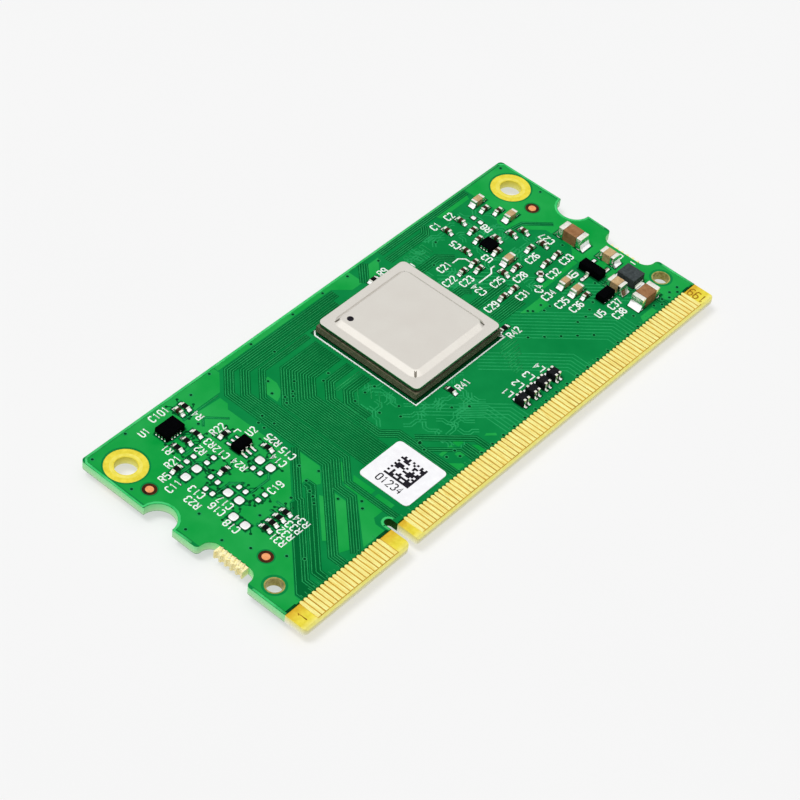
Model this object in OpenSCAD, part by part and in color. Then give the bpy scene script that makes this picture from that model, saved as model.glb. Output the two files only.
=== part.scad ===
// System on module: a laminate board with a gold edge connector, a lidded processor on its
// top face, small components around it, and memory and storage packages underneath.
// X runs along the connector edge, Y away from it and Z up. The part rests on the packages
// under the board, at Z = 0, with the middle of the board over the origin.

/* [Board] */
// Length of the board along the connector edge
board_l = 67.6; // [64:0.1:76]
// Width of the board from the connector edge to the far edge
board_w = 31; // [30:0.5:40]
// Thickness of the laminate
board_t = 1; // [0.8:0.1:1.6]
// Radius of the outline's corners
corner_r = 0.5; // [0.2:0.1:0.8]
// Thickness of the solder mask coat, the lands and the contacts
coat_t = 0.04; // [0.02:0.01:0.1]
// Gap between a land and the coat around it
coat_gap = 0.05; // [0.02:0.01:0.08]
// Distance from the connector edge to the start of the coat
coat_start = 2.75; // [2.7:0.05:3.2]

/* [Edge connector] */
// Spacing of the contacts
contact_pitch = 0.6; // [0.55:0.05:1]
// Width of a contact
contact_w = 0.45; // [0.3:0.01:0.5]
// Length of a contact
contact_l = 2.35; // [1.8:0.05:2.4]
// Distance from the connector edge to a contact
contact_setback = 0.32; // [0.3:0.01:0.35]
// Distance from the short edges to the middle of the outermost contacts
contact_margin = 2.3; // [1.5:0.1:4]
// Distance from the left edge to the middle of the key slot
key_x = 16.25; // [12:0.05:24]
// Width of the key slot
key_w = 1; // [0.8:0.05:1.4]
// Depth of the key slot
key_depth = 4; // [3:0.1:4.6]
// Distance from the key slot's middle to the contact on its left
key_room_left = 2.55; // [1.5:0.05:4]
// Distance from the key slot's middle to the contact on its right
key_room_right = 1.65; // [1.5:0.05:4]
// Radius of the left corner at the key slot's mouth
key_mouth_left = 0.8; // [0.3:0.05:1]
// Radius of the right corner at the key slot's mouth
key_mouth_right = 0.25; // [0.1:0.05:0.8]
// Height of the connector edge's bevel on the board faces
bevel_h = 0.28; // [0.1:0.01:0.3]
// Depth of the bevel into the thickness
bevel_d = 0.2; // [0.05:0.05:0.35]

/* [Holes and notches] */
// Diameter of the mounting holes
mount_d = 2.5; // [1.6:0.1:3.2]
// Diameter of the bare ring around a mounting hole
mount_ring_d = 4.7; // [3.6:0.1:5.2]
// Distance from the short edge to a mounting hole
mount_in = 2.75; // [2.6:0.05:3.2]
// Distance from the far edge to a mounting hole
mount_down = 3.75; // [2.8:0.05:4]
// Diameter of the locating holes
locate_d = 1.8; // [1.2:0.1:2.1]
// Thickness of the plated sleeve in a locating hole
sleeve_t = 0.16; // [0.1:0.01:0.3]
// Distance from the short edge to a locating hole
locate_in = 2; // [1.8:0.05:2.4]
// Distance from the connector edge to a locating hole
locate_up = 6; // [5:0.1:6.4]
// Radius of the latch notches
latch_r = 2; // [1:0.1:2.4]
// Distance from the connector edge to a latch notch
latch_up = 20; // [18.5:0.1:20.5]
// Distance from the connector edge to the break-off notch
relief_up = 8; // [7.6:0.1:9]
// Length of the break-off notch
relief_l = 6.6; // [6:0.1:7.2]
// Depth of the break-off notch
relief_depth = 1.9; // [1.2:0.1:2.2]
// Radius of the break-off notch's inner corners
relief_r = 1.3; // [0.5:0.1:1.3]
// Length of the broken stub in the notch
stub_l = 3.9; // [2:0.1:4.2]
// Reach of the left stub from the notch's wall
stub_out_left = 0.95; // [0.5:0.05:1.1]
// Reach of the right stub from the notch's wall
stub_out_right = 0.3; // [0.3:0.05:1.1]
// Radius of the drilled bites along the stub's broken edge
bite_r = 0.26; // [0.15:0.01:0.3]
// Spacing of the bites
bite_pitch = 0.75; // [0.65:0.05:1]
// Diameter of a fiducial dot
fiducial_d = 0.9; // [0.6:0.1:1.2]
// Diameter of the opening around a fiducial dot
fiducial_ring_d = 1.6; // [1.4:0.1:2]

/* [Processor] */
// Distance from the board's middle to the processor along X
soc_x = 4.2; // [3:0.1:5]
// Distance from the board's middle to the processor along Y
soc_y = 4.2; // [3.6:0.1:4.6]
// Side of the square substrate
soc_size = 14.2; // [12:0.1:14.6]
// Thickness of the substrate
soc_t = 0.8; // [0.5:0.05:1.2]
// Height of the processor's solder balls
soc_ball_h = 0.3; // [0.2:0.01:0.36]
// Radius of the processor's solder balls
soc_ball_r = 0.21; // [0.19:0.01:0.3]
// Spacing of the processor's solder balls
soc_ball_pitch = 0.8; // [0.65:0.05:1.2]
// Distance from the substrate's edge to the lid's edge
lid_setback = 0.05; // [0:0.05:0.4]
// Radius of the lid's corners
lid_r = 0.65; // [0.3:0.05:1]
// Thickness of the lid's rim
lid_t = 0.45; // [0.3:0.05:0.6]
// Width of the lid's flat rim
lid_rim_w = 0.95; // [0.7:0.05:1.2]
// Height of the lid's raised middle above the rim
lid_rise = 0.55; // [0.4:0.05:0.7]
// Width of the sloping shoulder between the rim and the raised middle
lid_shoulder_w = 0.7; // [0.6:0.05:1]
// Radius of the bends above and below the shoulder
lid_bend_r = 0.18; // [0.1:0.01:0.2]
// Radius of the raised middle's corners
lid_top_r = 0.5; // [0.3:0.05:1]
// Height of the sealant between the substrate and the lid
sealant_h = 0.2; // [0.1:0.01:0.3]
// Width of the sealant bead
sealant_w = 0.7; // [0.4:0.05:0.8]
// Distance from the lid's edge to the sealant bead
sealant_in = 0.4; // [0.2:0.05:0.5]
// Side of the die
die_size = 8; // [4:0.1:9]
// Thickness of the die
die_t = 0.5; // [0.3:0.05:0.55]

/* [Underside packages] */
// Side of the square memory package
memory_size = 12; // [9:0.1:13]
// Thickness of the memory package
memory_t = 0.8; // [0.6:0.05:0.9]
// Length of the storage package along X
storage_l = 11.5; // [9:0.1:13]
// Width of the storage package along Y
storage_w = 13; // [9:0.1:15]
// Thickness of the storage package
storage_t = 0.8; // [0.6:0.05:0.9]
// Distance from the left edge to the storage package's middle
storage_x = 20; // [17:0.1:22]
// Distance from the board's middle line to the storage package's middle
storage_y = 2.5; // [-2:0.1:5]
// Height of the underside solder balls
under_ball_h = 0.26; // [0.2:0.01:0.32]
// Radius of the underside solder balls
under_ball_r = 0.19; // [0.17:0.01:0.28]
// Spacing of the underside solder balls
under_ball_pitch = 0.8; // [0.65:0.05:1.2]
// Spacing of the underside capacitors along a row
under_cap_pitch = 1.9; // [1.8:0.05:2.4]
// Distance from the memory package's edge to a row of underside capacitors
under_cap_out = 1.1; // [0.7:0.05:1.5]
// Length of the crystal
crystal_l = 3.2; // [2:0.1:4]
// Width of the crystal
crystal_w = 2.5; // [1.6:0.1:3.2]
// Height of the crystal's ceramic base
crystal_base_h = 0.3; // [0.2:0.05:0.4]
// Height of the crystal's metal cover
crystal_cover_h = 0.35; // [0.2:0.05:0.4]
// Distance from the crystal's edge to its cover
crystal_lip = 0.2; // [0.1:0.05:0.4]

/* [Chip resistors] */
// Length of a resistor
resistor_l = 1; // [0.8:0.05:1.1]
// Width of a resistor
resistor_w = 0.5; // [0.3:0.05:0.6]
// Height of a resistor's ceramic
resistor_h = 0.3; // [0.2:0.01:0.4]
// Length of a resistor's terminal
resistor_end = 0.22; // [0.15:0.01:0.35]
// Thickness of the black overcoat
resistor_coat_t = 0.05; // [0.02:0.01:0.08]
// Length of the solder beyond a resistor
resistor_toe = 0.3; // [0.15:0.01:0.32]
// Height of the solder on a resistor's end
resistor_climb = 0.24; // [0.1:0.01:0.28]

/* [Small capacitors] */
// Length of a small capacitor
small_l = 1; // [0.8:0.05:1.1]
// Width of a small capacitor
small_w = 0.5; // [0.3:0.05:0.6]
// Height of a small capacitor
small_h = 0.5; // [0.4:0.05:0.6]
// Length of a small capacitor's terminal
small_end = 0.3; // [0.15:0.01:0.35]
// Length of the solder beyond a small capacitor
small_toe = 0.3; // [0.15:0.01:0.32]
// Height of the solder on a small capacitor's end
small_climb = 0.34; // [0.2:0.01:0.38]

/* [Medium capacitors] */
// Length of a medium capacitor
medium_l = 1.6; // [1.4:0.05:1.7]
// Width of a medium capacitor
medium_w = 0.8; // [0.6:0.05:0.9]
// Height of a medium capacitor
medium_h = 0.8; // [0.6:0.05:0.9]
// Length of a medium capacitor's terminal
medium_end = 0.35; // [0.2:0.01:0.5]
// Length of the solder beyond a medium capacitor
medium_toe = 0.4; // [0.2:0.01:0.45]
// Height of the solder on a medium capacitor's end
medium_climb = 0.5; // [0.2:0.01:0.58]

/* [Large capacitors] */
// Length of a large capacitor
large_l = 2; // [1.8:0.05:2.1]
// Width of a large capacitor
large_w = 1.25; // [1:0.05:1.4]
// Height of a large capacitor
large_h = 1.2; // [0.8:0.05:1.4]
// Length of a large capacitor's terminal
large_end = 0.5; // [0.25:0.01:0.6]
// Length of the solder beyond a large capacitor
large_toe = 0.42; // [0.2:0.01:0.5]
// Height of the solder on a large capacitor's end
large_climb = 0.65; // [0.2:0.01:0.75]

/* [Bulk capacitors] */
// Length of a bulk capacitor
bulk_l = 3.2; // [3:0.05:3.3]
// Width of a bulk capacitor
bulk_w = 1.6; // [1.4:0.05:1.8]
// Height of a bulk capacitor
bulk_h = 1.5; // [1:0.05:1.7]
// Length of a bulk capacitor's terminal
bulk_end = 0.7; // [0.3:0.01:0.9]
// Length of the solder beyond a bulk capacitor
bulk_toe = 0.5; // [0.2:0.01:0.55]
// Height of the solder on a bulk capacitor's end
bulk_climb = 0.75; // [0.2:0.01:0.9]

/* [Chips with edge contacts] */
// Length of the switch chip
switch_l = 2.6; // [2.2:0.05:2.9]
// Width of the switch chip
switch_w = 1.8; // [1.7:0.05:2]
// Height of the switch chip
switch_h = 0.85; // [0.4:0.05:0.9]
// Side of the small supply chip
supply_size = 1.6; // [1.3:0.05:1.6]
// Height of the supply chip
supply_h = 0.55; // [0.4:0.05:0.9]
// Spacing of the edge contacts
pad_pitch = 0.41; // [0.38:0.01:0.44]
// Width of an edge contact
pad_w = 0.2; // [0.12:0.01:0.24]
// Reach of an edge contact from the chip's side
pad_out = 0.05; // [0.04:0.01:0.12]
// Height of an edge contact
pad_h = 0.38; // [0.1:0.01:0.38]
// Length of the land beyond an edge contact
pad_land = 0.06; // [0.04:0.01:0.24]

/* [Chips with gull-wing leads] */
// Length of a small-outline chip
outline_l = 2; // [1.8:0.05:2.2]
// Width of a small-outline chip
outline_w = 1.25; // [1:0.05:1.3]
// Height of a small-outline chip
outline_h = 0.9; // [0.7:0.05:1.1]
// Width over a small-outline chip's leads
outline_span = 2.1; // [1.9:0.05:2.2]
// Spacing of a small-outline chip's leads
outline_pitch = 0.65; // [0.5:0.05:0.7]
// Width of a small-outline chip's lead
outline_lead_w = 0.25; // [0.15:0.01:0.3]
// Length of the transistor
transistor_l = 2.9; // [2.6:0.05:3.1]
// Width of the transistor
transistor_w = 1.3; // [1.1:0.05:1.5]
// Height of the transistor
transistor_h = 1; // [0.8:0.05:1.2]
// Width over the transistor's leads
transistor_span = 2.4; // [2.2:0.05:2.6]
// Spacing of the transistor's leads
transistor_pitch = 0.95; // [0.8:0.05:1.1]
// Width of a transistor's lead
transistor_lead_w = 0.4; // [0.25:0.01:0.5]
// Thickness of a lead
lead_t = 0.12; // [0.08:0.01:0.15]
// Length of a lead's foot
foot_l = 0.3; // [0.2:0.01:0.34]
// Gap under a leaded chip
standoff = 0.06; // [0.03:0.01:0.1]
// Slope of a leaded chip's sides, as a setback at its top and bottom
body_draft = 0.07; // [0.03:0.01:0.12]
// Length of the land beyond a small-outline chip's foot
foot_land = 0.4; // [0.1:0.01:0.44]
// Length of the land beyond a transistor's foot
transistor_land = 0.75; // [0.1:0.01:0.8]

/* [Chokes and inductor] */
// Length of a choke along X
choke_l = 1.2; // [1:0.05:1.3]
// Width of a choke along Y
choke_w = 1.2; // [1:0.05:1.3]
// Height of a choke
choke_h = 0.9; // [0.6:0.05:1.1]
// Spacing of the chokes
choke_pitch = 1.79; // [1.6:0.01:2]
// Distance between a choke's terminals
choke_gap = 0.6; // [0.5:0.01:0.7]
// Width of a choke's terminal
choke_end_w = 0.32; // [0.2:0.01:0.36]
// Thickness of a choke's terminal
choke_end_t = 0.08; // [0.04:0.01:0.12]
// Reach of a choke's terminal over its top
choke_wrap = 0.2; // [0.1:0.01:0.3]
// Length of the land in front of a choke's terminal
choke_land = 0.35; // [0.2:0.01:0.45]
// Length of the inductor along Y
inductor_l = 2.4; // [2:0.05:2.6]
// Width of the inductor along X
inductor_w = 2; // [1.6:0.05:2.1]
// Height of the inductor
inductor_h = 1.2; // [0.8:0.05:1.4]
// Width of an inductor's terminal
inductor_end_w = 1.5; // [1:0.05:1.6]
// Height of an inductor's terminal
inductor_end_h = 0.4; // [0.2:0.05:0.6]
// Thickness of an inductor's terminal
inductor_end_t = 0.1; // [0.05:0.01:0.15]
// Length of the land beyond an inductor's terminal
inductor_land = 0.3; // [0.15:0.01:0.35]

/* [Bare lands and label] */
// Width of a small bare land
bare_small_w = 0.55; // [0.4:0.05:0.6]
// Length of a small bare land
bare_small_l = 0.62; // [0.4:0.01:0.65]
// Side of a large bare land
bare_large = 1; // [0.7:0.05:1.05]
// Side of the square label
label_size = 6.6; // [4:0.1:7]
// Thickness of the label
label_t = 0.08; // [0.05:0.01:0.15]
// Radius of the label's corners
label_r = 0.55; // [0.2:0.05:1]
// Distance from the left edge to the label's middle
label_x = 22.3; // [21:0.1:24]
// Distance from the connector edge to the label's middle
label_up = 6.85; // [6.4:0.05:8]

/* [Hidden] */
$fn = 32;

// Levels of the stack, from the resting plane up
under_z = max(memory_t, storage_t) + under_ball_h;
board_z = under_z + coat_t;
top_z = board_z + board_t;
seat_z = top_z + coat_t;
middle_z = board_z + board_t / 2;
substrate_z = seat_z + soc_ball_h;
die_z = substrate_z + soc_t;
lid_z = die_z + sealant_h;

// Edges of the board
left_x = -board_l / 2;
right_x = board_l / 2;
near_y = -board_w / 2;
far_y = board_w / 2;

// Places along the edge connector
slot_x = left_x + key_x;
first_contact = left_x + contact_margin;
left_room = slot_x - key_room_left - first_contact;
left_contacts = floor(left_room / contact_pitch + 0.01) + 1;
right_start = slot_x + key_room_right;
right_room = right_x - contact_margin - right_start;
right_contacts = floor(right_room / contact_pitch + 0.01) + 1;
contact_places = concat(
    [for (i = [0 : left_contacts - 1]) slot_x - key_room_left - i * contact_pitch],
    [for (i = [0 : right_contacts - 1]) right_start + i * contact_pitch]
);

// Sizes of the chip components: length, width, height, terminal, solder toe, solder climb
resistor = [resistor_l, resistor_w, resistor_h, resistor_end, resistor_toe, resistor_climb];
small_cap = [small_l, small_w, small_h, small_end, small_toe, small_climb];
medium_cap = [medium_l, medium_w, medium_h, medium_end, medium_toe, medium_climb];
large_cap = [large_l, large_w, large_h, large_end, large_toe, large_climb];
bulk_cap = [bulk_l, bulk_w, bulk_h, bulk_end, bulk_toe, bulk_climb];

// Sizes of the leaded chips: length, width, height, lead span, lead spacing, lead width, land
outline_chip = [
    outline_l, outline_w, outline_h,
    outline_span, outline_pitch, outline_lead_w, foot_land
];
transistor_chip = [
    transistor_l, transistor_w, transistor_h,
    transistor_span, transistor_pitch, transistor_lead_w, transistor_land
];

// Places are written as distance from a short edge, distance from the long middle line and
// turn. Groups beside the connector are measured from the connector edge instead.
function from_left(places) = [for (p = places) [left_x + p[0], p[1], p[2]]];
function from_right(places) = [for (p = places) [right_x - p[0], p[1], p[2]]];
function from_right_near(places) = [for (p = places) [right_x - p[0], near_y + p[1], p[2]]];
function about_soc(places) = [for (p = places) [soc_x + p[0], soc_y + p[1], p[2]]];

resistor_row_x = 6.7;
resistor_row_y = -3.9;
resistor_row_pitch = 1;
resistor_row_count = 4;
resistor_places = concat(
    from_left([
        [8.2, 9.8, 90], [9.55, 9.8, 90], [11, 9.8, 90], [12.9, 13.3, 90],
        [6, 7.8, 0], [13, 7.8, 0], [9.35, 4.35, 0], [14.85, 3.4, 90]
    ]),
    from_left([
        for (i = [0 : resistor_row_count - 1])
            [resistor_row_x + i * resistor_row_pitch, resistor_row_y, 90]
    ]),
    about_soc([[8.3, -6.65, 0], [-3.1, -8.7, 90], [3.6, 8.2, 0]])
);
small_places = concat(
    from_left([[11.9, 13.25, 90]]),
    from_right([
        [13.95, 11.9, 90], [11.55, 11.9, 90], [7.95, 11.35, 0], [7.1, 10.05, 0],
        [11.75, 9.95, 0], [12.45, 8.55, 0], [14.95, 8.3, 90], [10.8, 7.25, 90],
        [12.45, 5.85, 0], [17.75, 6.4, 0], [15.75, 6.4, 0], [16.1, 5.4, 0],
        [14.6, 3.1, 90], [12.85, 2.7, 0], [9.3, 3.6, 0], [8.95, 6.55, 90],
        [7.6, 5.9, 90], [7.65, 3.05, 90], [17.6, 0.7, 0], [15.75, 0.7, 0],
        [11.9, 0, 40], [9.85, 0.8, 0], [7.85, 0.85, 0]
    ]),
    from_right_near([[10.7, 9.98, 0]])
);
medium_places = concat(
    from_right([[7.65, 12.7, 0], [6.8, 8.5, 0], [12.6, 4.05, 0]]),
    from_right_near([[10.85, 12.8, 0], [10.85, 11.15, 0]])
);
large_places = from_right_near([[4.05, 11.9, 90], [7.1, 8.45, 90]]);
bulk_places = concat(
    from_right([[4.5, 1.25, 90]]),
    from_right_near([[6.3, 5.1, 0]])
);
switch_place = from_left([[9.3, 12, 0]])[0];
supply_place = from_right([[12.3, 7.15, 0]])[0];
gate_place = from_left([[13.05, 5.4, 0]])[0];
converter_place = from_right_near([[9.2, 8.45, 0]])[0];
transistor_place = from_right_near([[7.1, 11.95, 90]])[0];
inductor_place = from_right_near([[4.85, 8.25, 0]])[0];
choke_start = [5.35, 4.75];
choke_count = 4;
choke_places = [
    for (i = [0 : choke_count - 1])
        [choke_start[0] + i * choke_pitch, near_y + choke_start[1], 0]
];
bare_small_places = from_left([
    [7.55, 7.85, 0], [8.55, 7.85, 0], [8.9, 6.3, 0], [9.9, 6.3, 0],
    [6.25, 3.95, 90], [6.25, 3, 90], [7.8, 4.7, 90], [7.75, 3.7, 90],
    [8.85, 1.75, 90], [8.85, 0.85, 90], [11.75, 2.55, 90], [11.75, 1.55, 90],
    [8.95, -0.8, 0], [9.95, -0.8, 0]
]);
bare_pair_places = from_right([[9.95, 11.35, 0], [9.95, 10.3, 0]]);
bare_large_places = from_left([
    [5.95, 6.45, 0], [7.55, 6.45, 0], [7.5, 2, 0], [7.55, 0.5, 0],
    [13.05, 2.8, 0], [13.05, 1.3, 0], [5.55, -0.6, 0], [5.55, -2.2, 0]
]);
fiducial_places = [
    [left_x + 2.2, far_y - 7.65],
    [right_x - 3.65, far_y - 7.7],
    [left_x + 4.1, near_y + 9.1]
];

// Places under the board
memory_place = [soc_x, soc_y];
storage_place = [left_x + storage_x, storage_y];
under_cap_rows = floor(memory_size / under_cap_pitch);
under_cap_places = [
    for (side = [-1, 1], i = [0 : under_cap_rows - 1]) [
        memory_place[0] + side * (memory_size / 2 + under_cap_out),
        memory_place[1] + (i - (under_cap_rows - 1) / 2) * under_cap_pitch,
        90
    ]
];
crystal_out = 4.5;
crystal_drop = -3;
crystal_place = [memory_place[0] + memory_size / 2 + crystal_out, memory_place[1] + crystal_drop, 0];

// Placing
module each_place(places) {
    for (p = places) translate([p[0], p[1], 0]) rotate(p[2]) children();
}
module at_place(p) {
    translate([p[0], p[1], 0]) rotate(p[2]) children();
}
module both_sides() {
    for (side = [0, 1]) mirror([side, 0, 0]) children();
}
module both_ends() {
    for (side = [0, 1]) rotate(180 * side) children();
}
module underside() {
    translate([0, 0, 2 * middle_z]) mirror([0, 0, 1]) children();
}

// Flat shapes
module box_shape(l, w) {
    translate([-l / 2, -w / 2]) square([l, w]);
}
module round_box_shape(l, w, r) {
    box_shape(l - 2 * r, w);
    box_shape(l, w - 2 * r);
    for (sx = [-1, 1], sy = [-1, 1]) translate([sx * (l / 2 - r), sy * (w / 2 - r)]) circle(r);
}
module corner_shape(r) {
    difference() {
        square(r);
        circle(r);
    }
}

// Board outline
module relief_shape() {
    square([relief_depth - relief_r, relief_l]);
    translate([0, relief_r]) square([relief_depth, relief_l - 2 * relief_r]);
    for (y = [relief_r, relief_l - relief_r]) translate([relief_depth - relief_r, y]) circle(relief_r);
}
module stub_shape(reach) {
    bites = floor((stub_l - 2 * bite_r) / bite_pitch) + 1;
    difference() {
        translate([-reach, -stub_l / 2]) square([reach, stub_l]);
        for (i = [0 : bites - 1])
            translate([-reach, (i - (bites - 1) / 2) * bite_pitch]) circle(bite_r);
    }
}
module side_cuts(stub_out) {
    translate([left_x, near_y + latch_up]) circle(latch_r, $fn = 64);
    difference() {
        translate([left_x, near_y + relief_up]) relief_shape();
        translate([left_x + relief_depth, near_y + relief_up + relief_l / 2]) stub_shape(stub_out);
    }
    translate([left_x + corner_r, near_y + relief_up - corner_r]) mirror([1, 0]) corner_shape(corner_r);
    translate([left_x + corner_r, near_y + relief_up + relief_l + corner_r])
        rotate(180) corner_shape(corner_r);
    translate([left_x + mount_in, far_y - mount_down]) circle(d = mount_d, $fn = 64);
    translate([left_x + locate_in, near_y + locate_up]) circle(d = locate_d + 2 * sleeve_t, $fn = 64);
}
module key_cut() {
    translate([slot_x - key_w / 2, near_y]) square([key_w, key_depth - key_w / 2]);
    translate([slot_x, near_y + key_depth - key_w / 2]) circle(d = key_w);
    translate([slot_x - key_w / 2 - key_mouth_left, near_y + key_mouth_left])
        mirror([0, 1]) corner_shape(key_mouth_left);
    translate([slot_x + key_w / 2 + key_mouth_right, near_y + key_mouth_right])
        rotate(180) corner_shape(key_mouth_right);
}
module board_shape() {
    difference() {
        round_box_shape(board_l, board_w, corner_r);
        side_cuts(stub_out_left);
        mirror([1, 0, 0]) side_cuts(stub_out_right);
        key_cut();
    }
}
module edge_bevel() {
    translate([left_x, near_y, 0]) rotate([90, 0, 90]) linear_extrude(board_l)
        polygon([[0, 0], [bevel_h, 0], [0, bevel_d]]);
}

// Lands of each kind of component
module chip_lands(size, grow) {
    both_ends() translate([size[0] / 2 - size[3] - grow, -size[1] / 2 - grow])
        square([size[3] + size[4] + 2 * grow, size[1] + 2 * grow]);
}
module lead_lands(size, leads, grow) {
    middle = size[3] / 2 + (size[6] - foot_l) / 2;
    for (lead = leads) translate([lead[0] * size[4], lead[1] * middle])
        box_shape(size[5] + 2 * grow, foot_l + size[6] + 2 * grow);
}
module flat_contact_shapes(size, leads, grow) {
    for (lead = leads) translate([lead[0] * size[4], lead[1] * (size[1] - foot_l) / 2])
        box_shape(size[5] + 2 * grow, foot_l + 2 * grow);
}
module pad_row_lands(reach, count, grow) {
    for (i = [0 : count - 1])
        translate([reach + (pad_out + pad_land) / 2, (i - (count - 1) / 2) * pad_pitch])
            box_shape(pad_out + pad_land + 2 * grow, pad_w + 2 * grow);
}
module choke_lands(grow) {
    for (sx = [-1, 1], sy = [-1, 1])
        translate([sx * choke_gap / 2, sy * (choke_w / 2 + choke_land / 2)])
            box_shape(choke_end_w + 2 * grow, choke_land + 2 * grow);
}
module inductor_lands(grow) {
    for (sy = [-1, 1]) translate([0, sy * (inductor_l / 2 + (inductor_end_t + inductor_land) / 2)])
        box_shape(inductor_end_w + 2 * grow, inductor_end_t + inductor_land + 2 * grow);
}
six_leads = [for (x = [-1 : 1], y = [-1, 1]) [x, y]];
three_leads = [[0, 1], [-1, -1], [1, -1]];
switch_side_pads = 4;
supply_side_pads = 3;
module component_land_shapes(grow) {
    each_place(resistor_places) chip_lands(resistor, grow);
    each_place(small_places) chip_lands(small_cap, grow);
    each_place(medium_places) chip_lands(medium_cap, grow);
    each_place(large_places) chip_lands(large_cap, grow);
    each_place(bulk_places) chip_lands(bulk_cap, grow);
    at_place(gate_place) lead_lands(outline_chip, six_leads, grow);
    at_place(converter_place) flat_contact_shapes(outline_chip, six_leads, grow);
    at_place(transistor_place) lead_lands(transistor_chip, three_leads, grow);
    at_place(switch_place) switch_lands(grow);
    at_place(supply_place) both_ends() pad_row_lands(supply_size / 2, supply_side_pads, grow);
    each_place(choke_places) choke_lands(grow);
    at_place(inductor_place) inductor_lands(grow);
}
module switch_lands(grow) {
    both_ends() {
        pad_row_lands(switch_l / 2, switch_side_pads, grow);
        rotate(90) pad_row_lands(switch_w / 2, switch_side_pads, grow);
    }
}
module bare_land_shapes(grow) {
    each_place(concat(bare_small_places, bare_pair_places))
        box_shape(bare_small_w + 2 * grow, bare_small_l + 2 * grow);
    each_place(bare_large_places) box_shape(bare_large + 2 * grow, bare_large + 2 * grow);
}
module under_land_shapes(grow) {
    each_place(under_cap_places) chip_lands(small_cap, grow);
}

// Board, coat and contacts
module circuit_board() {
    color("khaki") difference() {
        translate([0, 0, board_z]) linear_extrude(board_t) board_shape();
        translate([0, 0, board_z]) edge_bevel();
        underside() translate([0, 0, board_z]) edge_bevel();
    }
}
module coat_shape() {
    difference() {
        board_shape();
        translate([left_x, near_y]) square([board_l, coat_start]);
        both_sides() {
            translate([left_x, near_y + relief_up]) relief_shape();
            translate([left_x + mount_in, far_y - mount_down]) circle(d = mount_ring_d, $fn = 64);
            translate([left_x + locate_in, near_y + locate_up])
                circle(d = locate_d + 2 * sleeve_t, $fn = 64);
        }
    }
}
module solder_mask_top() {
    color("seagreen") translate([0, 0, top_z]) linear_extrude(coat_t) difference() {
        coat_shape();
        component_land_shapes(coat_gap);
        bare_land_shapes(coat_gap);
        for (p = fiducial_places) translate(p) circle(d = fiducial_ring_d);
    }
}
module solder_mask_bottom() {
    color("seagreen") translate([0, 0, under_z]) linear_extrude(coat_t) difference() {
        coat_shape();
        under_land_shapes(coat_gap);
    }
}
module contact_shape() {
    translate([-contact_w / 2, contact_setback]) square([contact_w, contact_l - contact_w / 2]);
    translate([0, contact_setback + contact_l - contact_w / 2]) circle(d = contact_w, $fn = 24);
}
module contact_row() {
    linear_extrude(coat_t) for (x = contact_places) translate([x, near_y]) contact_shape();
}
module edge_contacts_top() {
    color("gold") translate([0, 0, top_z]) contact_row();
}
module edge_contacts_bottom() {
    color("gold") translate([0, 0, under_z]) contact_row();
}
module sleeve() {
    difference() {
        cylinder(h = board_t + 2 * coat_t, d = locate_d + 2 * sleeve_t, $fn = 64);
        translate([0, 0, -coat_t]) cylinder(h = board_t + 4 * coat_t, d = locate_d, $fn = 64);
    }
}
module locating_hole_sleeves() {
    color("goldenrod") both_sides()
        translate([left_x + locate_in, near_y + locate_up, under_z]) sleeve();
}
module fiducial_dots() {
    color("sandybrown") for (p = fiducial_places) translate([p[0], p[1], top_z])
        cylinder(h = coat_t, d = fiducial_d);
}
module bare_lands() {
    color("whitesmoke") translate([0, 0, top_z]) linear_extrude(coat_t) bare_land_shapes(0);
}
module component_lands() {
    color("silver") translate([0, 0, top_z]) linear_extrude(coat_t) component_land_shapes(0);
}
module underside_lands() {
    color("silver") translate([0, 0, under_z]) linear_extrude(coat_t) under_land_shapes(0);
}

// Chip components
module chip_body(size) {
    translate([-size[0] / 2 + size[3], -size[1] / 2, seat_z])
        cube([size[0] - 2 * size[3], size[1], size[2]]);
}
module chip_ends(size) {
    both_ends() translate([size[0] / 2 - size[3], -size[1] / 2, seat_z])
        cube([size[3], size[1], size[2]]);
}
fillet_lip = 0.05;
fillet_waist = 0.35;
module chip_fillets(size) {
    both_ends() translate([size[0] / 2, size[1] / 2, seat_z]) rotate([90, 0, 0]) linear_extrude(size[1])
        polygon([
            [0, 0], [size[4], 0], [size[4], fillet_lip],
            [fillet_waist * size[4], fillet_waist * size[5]], [0, size[5]]
        ]);
}
module solder_fillets() {
    color("white") {
        each_place(resistor_places) chip_fillets(resistor);
        each_place(small_places) chip_fillets(small_cap);
        each_place(medium_places) chip_fillets(medium_cap);
        each_place(large_places) chip_fillets(large_cap);
        each_place(bulk_places) chip_fillets(bulk_cap);
        underside() each_place(under_cap_places) chip_fillets(small_cap);
    }
}
module resistor_bodies() {
    color("ivory") each_place(resistor_places) chip_body(resistor);
}
module resistor_coats() {
    color("black") each_place(resistor_places)
        translate([-resistor_l / 2 + resistor_end, -resistor_w / 2, seat_z + resistor_h])
            cube([resistor_l - 2 * resistor_end, resistor_w, resistor_coat_t]);
}
module resistor_terminals() {
    color("silver") each_place(resistor_places) chip_ends(resistor);
}
module small_capacitor_bodies() {
    color("saddlebrown") each_place(small_places) chip_body(small_cap);
}
module small_capacitor_terminals() {
    color("silver") each_place(small_places) chip_ends(small_cap);
}
module medium_capacitor_bodies() {
    color("tan") each_place(medium_places) chip_body(medium_cap);
}
module medium_capacitor_terminals() {
    color("silver") each_place(medium_places) chip_ends(medium_cap);
}
module large_capacitor_bodies() {
    color("tan") each_place(large_places) chip_body(large_cap);
}
module large_capacitor_terminals() {
    color("silver") each_place(large_places) chip_ends(large_cap);
}
module bulk_capacitor_bodies() {
    color("sienna") each_place(bulk_places) chip_body(bulk_cap);
}
module bulk_capacitor_terminals() {
    color("silver") each_place(bulk_places) chip_ends(bulk_cap);
}
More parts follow.
